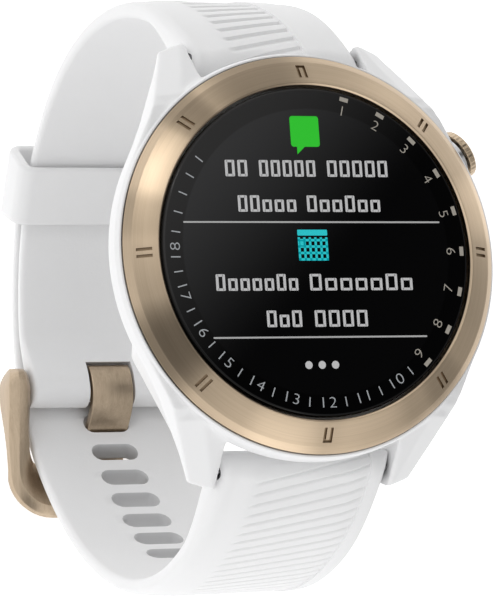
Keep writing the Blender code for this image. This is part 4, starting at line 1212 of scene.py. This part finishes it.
# %% Long strap
long_angles = span(-141.2, -60, 0.225) + span(-60, 34, 0.9) + span(34, 36, 0.4) + [radians(36)]
long_mesh = ribbed_strap("long_strap", (long_inner, long_outer), LONG_ENDS, long_angles,
                         (-5.5 * MM, 7.6 * MM), -0.47, 2.7, (radians(-137.5), radians(-66)), 0.19, 0.24, 0.22)
long_mesh = carve(long_mesh, *bar_bores(-1), slots)
settle("long_strap", shaded(long_mesh, 45), white_strap, "lower_strap", "white_strap", "lower_strap")

# %% [markdown]
# ## Keeper
# The keeper is a moulded silicone band round both strap halves. It is swept along a rectangle
# with round corners; its own section is a small rounded bar, thicker on the flat sides.

# %% Keeper
def keeper_mesh():
    half_in, half_out = 10.2, 11.5
    inner = soft_box(-half_in, 30.45, half_in, 34.85, 0.5)
    outer = soft_box(-half_out, 29.6, half_out, 35.7, 1.7)
    low, high = radians(26), radians(39.5)
    rings = []
    for (xi, ri), (xo, ro) in zip(inner, outer):
        wall_mm = hypot(xo - xi, ro - ri)
        ring = []
        for corner, way in (((0, low), (1, 1)), ((0, high), (1, -1)), ((1, high), (-1, -1)),
                            ((1, low), (-1, 1))):
            for step in range(6):
                turn = pi / 2 * step / 5
                if way in ((1, 1), (-1, -1)):
                    across, along = 1 - sin(turn), 1 - cos(turn)
                else:
                    across, along = 1 - cos(turn), 1 - sin(turn)
                share = corner[0] + way[0] * across * min(0.45 / wall_mm, 0.48)
                angle = corner[1] + way[1] * along * 0.45 / 33
                x, reach = xo + (xi - xo) * share, ro + (ri - ro) * share
                ring.append((x * MM, *on_loop(reach * MM, angle)))
        rings.append(ring)
    return stack("keeper", rings, looped=True, sharp=60)


settle("keeper_loop", keeper_mesh(), white_strap, "keeper", "white_strap", "strap_keeper")

# %% [markdown]
# ## Buckle frame
# The frame is a forged U: an eye round the pin on each side, arms that thin out, and a flat bar
# that the tongue rests on. It is lofted between an inner and an outer edge line, which turn
# their corners with different radii, and its section has broad chamfers on all four edges.

# %% Buckle frame
def edge_line(side_x, far_d, radius, heights):
    """(x, d, z) along one edge of the left half: down the arm, round the corner and along the bar."""
    middle_x, middle_d = side_x + radius, far_d - radius
    points = [(side_x, middle_d * step / 6) for step in range(7)]
    for step in range(1, 10):
        turn = pi / 2 * step / 9
        points.append((middle_x - radius * cos(turn), middle_d + radius * sin(turn)))
    start = points[-1][0]
    points += [(start * (1 - step / 3), far_d) for step in range(1, 4)]
    lifted = []
    for index, (x, d) in enumerate(points):
        share = ease(index, 3, len(points) - 5)
        lifted.append((x, d, heights[0] * (1 - share) + heights[1] * share))
    return lifted


def frame_mesh():
    """The frame, in millimetres from the pin; a station is (outer point, inner point, half thickness)."""
    side_x, inner_x, eye_r, eye_z = -12.7, -10.3, 2.7, -49.55
    outer, inner = edge_line(side_x, 14.6, 4.6, (eye_z, -48.4)), edge_line(inner_x, 8.4, 1.6, (eye_z, -51.25))
    stations = []
    for step in range(7):
        turn = pi / 2 * (1 - step / 7)
        d = -eye_r * sin(turn)
        stations.append(((side_x + 0.8 * sin(turn) ** 2, d, eye_z), (inner_x, d, eye_z), eye_r * cos(turn)))
    thick = [2.7, 2.45, 2.1, 1.8, 1.55, 1.35, 1.2, 1.15, 1.12, 1.1, 1.08] + [1.07] * 8
    stations += list(zip(outer, inner, thick))
    stations += [((-o[0], o[1], o[2]), (-i[0], i[1], i[2]), t) for o, i, t in reversed(stations[:-1])]
    edges = [(Vector((o[0], -o[1], o[2])), Vector((i[0], -i[1], i[2]))) for o, i, _ in stations]
    middles = [(out + into) / 2 for out, into in edges]
    offset = Vector((0, pin[0] / MM, 0))
    rings = []
    for index, (out, into) in enumerate(edges):
        across = (out - into).normalized()
        along = middles[min(index + 1, len(middles) - 1)] - middles[max(index - 1, 0)]
        normal = along.cross(across).normalized()
        if normal.z < 0:
            normal.negate()
        half, thickness = (out - into).length / 2, max(stations[index][2], 0.05)
        cut_out = min(1.15, half * 0.8, thickness * 0.75)
        cut_in = min(0.55, half * 0.5, thickness * 0.5)
        shape = [(half, -(thickness - cut_out)), (half, thickness - cut_out), (half - cut_out, thickness),
                 (-(half - cut_in), thickness), (-half, thickness - cut_in), (-half, -(thickness - cut_in)),
                 (-(half - cut_in), -thickness), (half - cut_out, -thickness)]
        rings.append([tuple((middles[index] + offset + across * a + normal * b) * MM) for a, b in shape])
    return stack("frame", rings, sharp=25)


worker = loose("frame", frame_mesh())
modify(worker, "BEVEL", width=0.16 * MM, segments=2, limit_method="ANGLE", angle_limit=radians(28))
frame_piece = taken(worker, "buckle_bow")
tongue_seat = loop_block((35.0 * MM, 40 * MM), (radians(-15), radians(-32.6)), 2.8 * MM)
frame_piece.materials.append(gold_belted)
frame_piece = carve(frame_piece, rod(0.85, -12.1, 12.1, pin_place, 32), tongue_seat)
settle("buckle_bow", shaded(frame_piece, 30), gold_belted, "buckle_frame", "brushed_gold", "buckle_frame")

# %% Buckle pin
pin_profile = rounded(mm((0, 12.0), (0.75, 12.0, 0.15), (0.75, -12.0, 0.15), (0, -12.0)))
pin_mesh = turned("pin_rod", pin_profile, 48, pin_place)
settle("pin_rod", pin_mesh, gold_belted, "upper_strap", "brushed_gold", "buckle_pin")

# %% [markdown]
# ## Tongue
# The tongue is a wide strip rolled round the pin, which leaves through a slot and lies on the
# frame's bar. Its path is an arc followed by a smooth curve through a few points; the section
# is a thin bar with rounded edges, and it narrows to a round tip.

# %% Tongue
def smooth_path(points, steps):
    """Points along a Catmull-Rom curve."""
    padded = [points[0]] + points + [points[-1]]
    path = []
    for a, b, c, d in zip(padded, padded[1:], padded[2:], padded[3:]):
        for step in range(steps):
            t = step / steps
            square, cube = (2 * a - 5 * b + 4 * c - d) * t ** 2, (3 * b - a - 3 * c + d) * t ** 3
            path.append(0.5 * (2 * b + (c - a) * t + square + cube))
    return path + [points[-1]]


def tongue_mesh():
    """The tongue's section swept along its path; the path's points are (y, z) in millimetres."""
    bar = rounded([(0, -0.5), (1, -0.5, 0.14), (1, 0.5, 0.14), (-1, 0.5, 0.14), (-1, -0.5, 0.14), (0, -0.5)],
                  3)[:-1]
    wrap = [(-6.6, -51.0), (-5.2, -51.1), (-4.0, -50.5), (-3.4, -49.5), (-3.5, -48.8), (-4.4, -48.3),
            (-5.79, -48.05),
            (-7.25, -48.3), (-8.45, -49.05), (-9.35, -49.85), (-10.15, -50.65), (-10.95, -51.45),
            (-11.9, -52.2)]
    rest = [on_loop(radius * MM, radians(angle)) for radius,
            angle in ((35.75, -22.8), (35.8, -26.0), (35.8, -31.6))]
    path = smooth_path([Vector(point) * MM for point in wrap] + rest, 5)
    rings = []
    for index, point in enumerate(path):
        ahead = path[min(index + 1, len(path) - 1)] - path[max(index - 1, 0)]
        normal = Vector((-ahead.y, ahead.x)).normalized()
        tip = (path[-1] - point).length
        half = 2.5 * MM
        if index > len(path) - 12 and tip < 2.0 * MM:
            half = 0.6 * MM + 1.9 * MM * (1 - (1 - tip / (2.0 * MM)) ** 2) ** 0.5
        ring = []
        for a, b in bar:
            across = (half - 1 * MM) * (1 if a > 0 else -1 if a < 0 else 0) + a * MM
            ring.append((across, *(point + normal * b * MM)))
        rings.append(ring)
    return stack("tongue", rings, sharp=40)


settle("tongue_strip", tongue_mesh(), gold_belted, "buckle_tongue", "brushed_gold", "buckle_tongue")

# %% [markdown]
# ## Floor
# The watch rests on the lowest point of its loop. The floor is one large pale sheet with a
# little light of its own, as on a light table, so that the shadow stays faint.

# %% Floor
work = bmesh.new()
bmesh.ops.create_grid(work, x_segments=1, y_segments=1, size=1.5)
bmesh.ops.translate(work, vec=(0, 0, cad_box[0].z), verts=work.verts)
floor_mesh = mesh_from(work, "floor")
floor_look, tree, shader, place = blank("pale_floor")
paper = between(tree, noise(tree, place, 60.0), (0.90, 0.90, 0.905), (0.92, 0.92, 0.925))
feed(tree, shader, {
    "Base Color": paper, "Roughness": 0.8, "Emission Color": (1, 1, 1, 1), "Emission Strength": 0.55,
})
loose("floor", floor_mesh, floor_look)
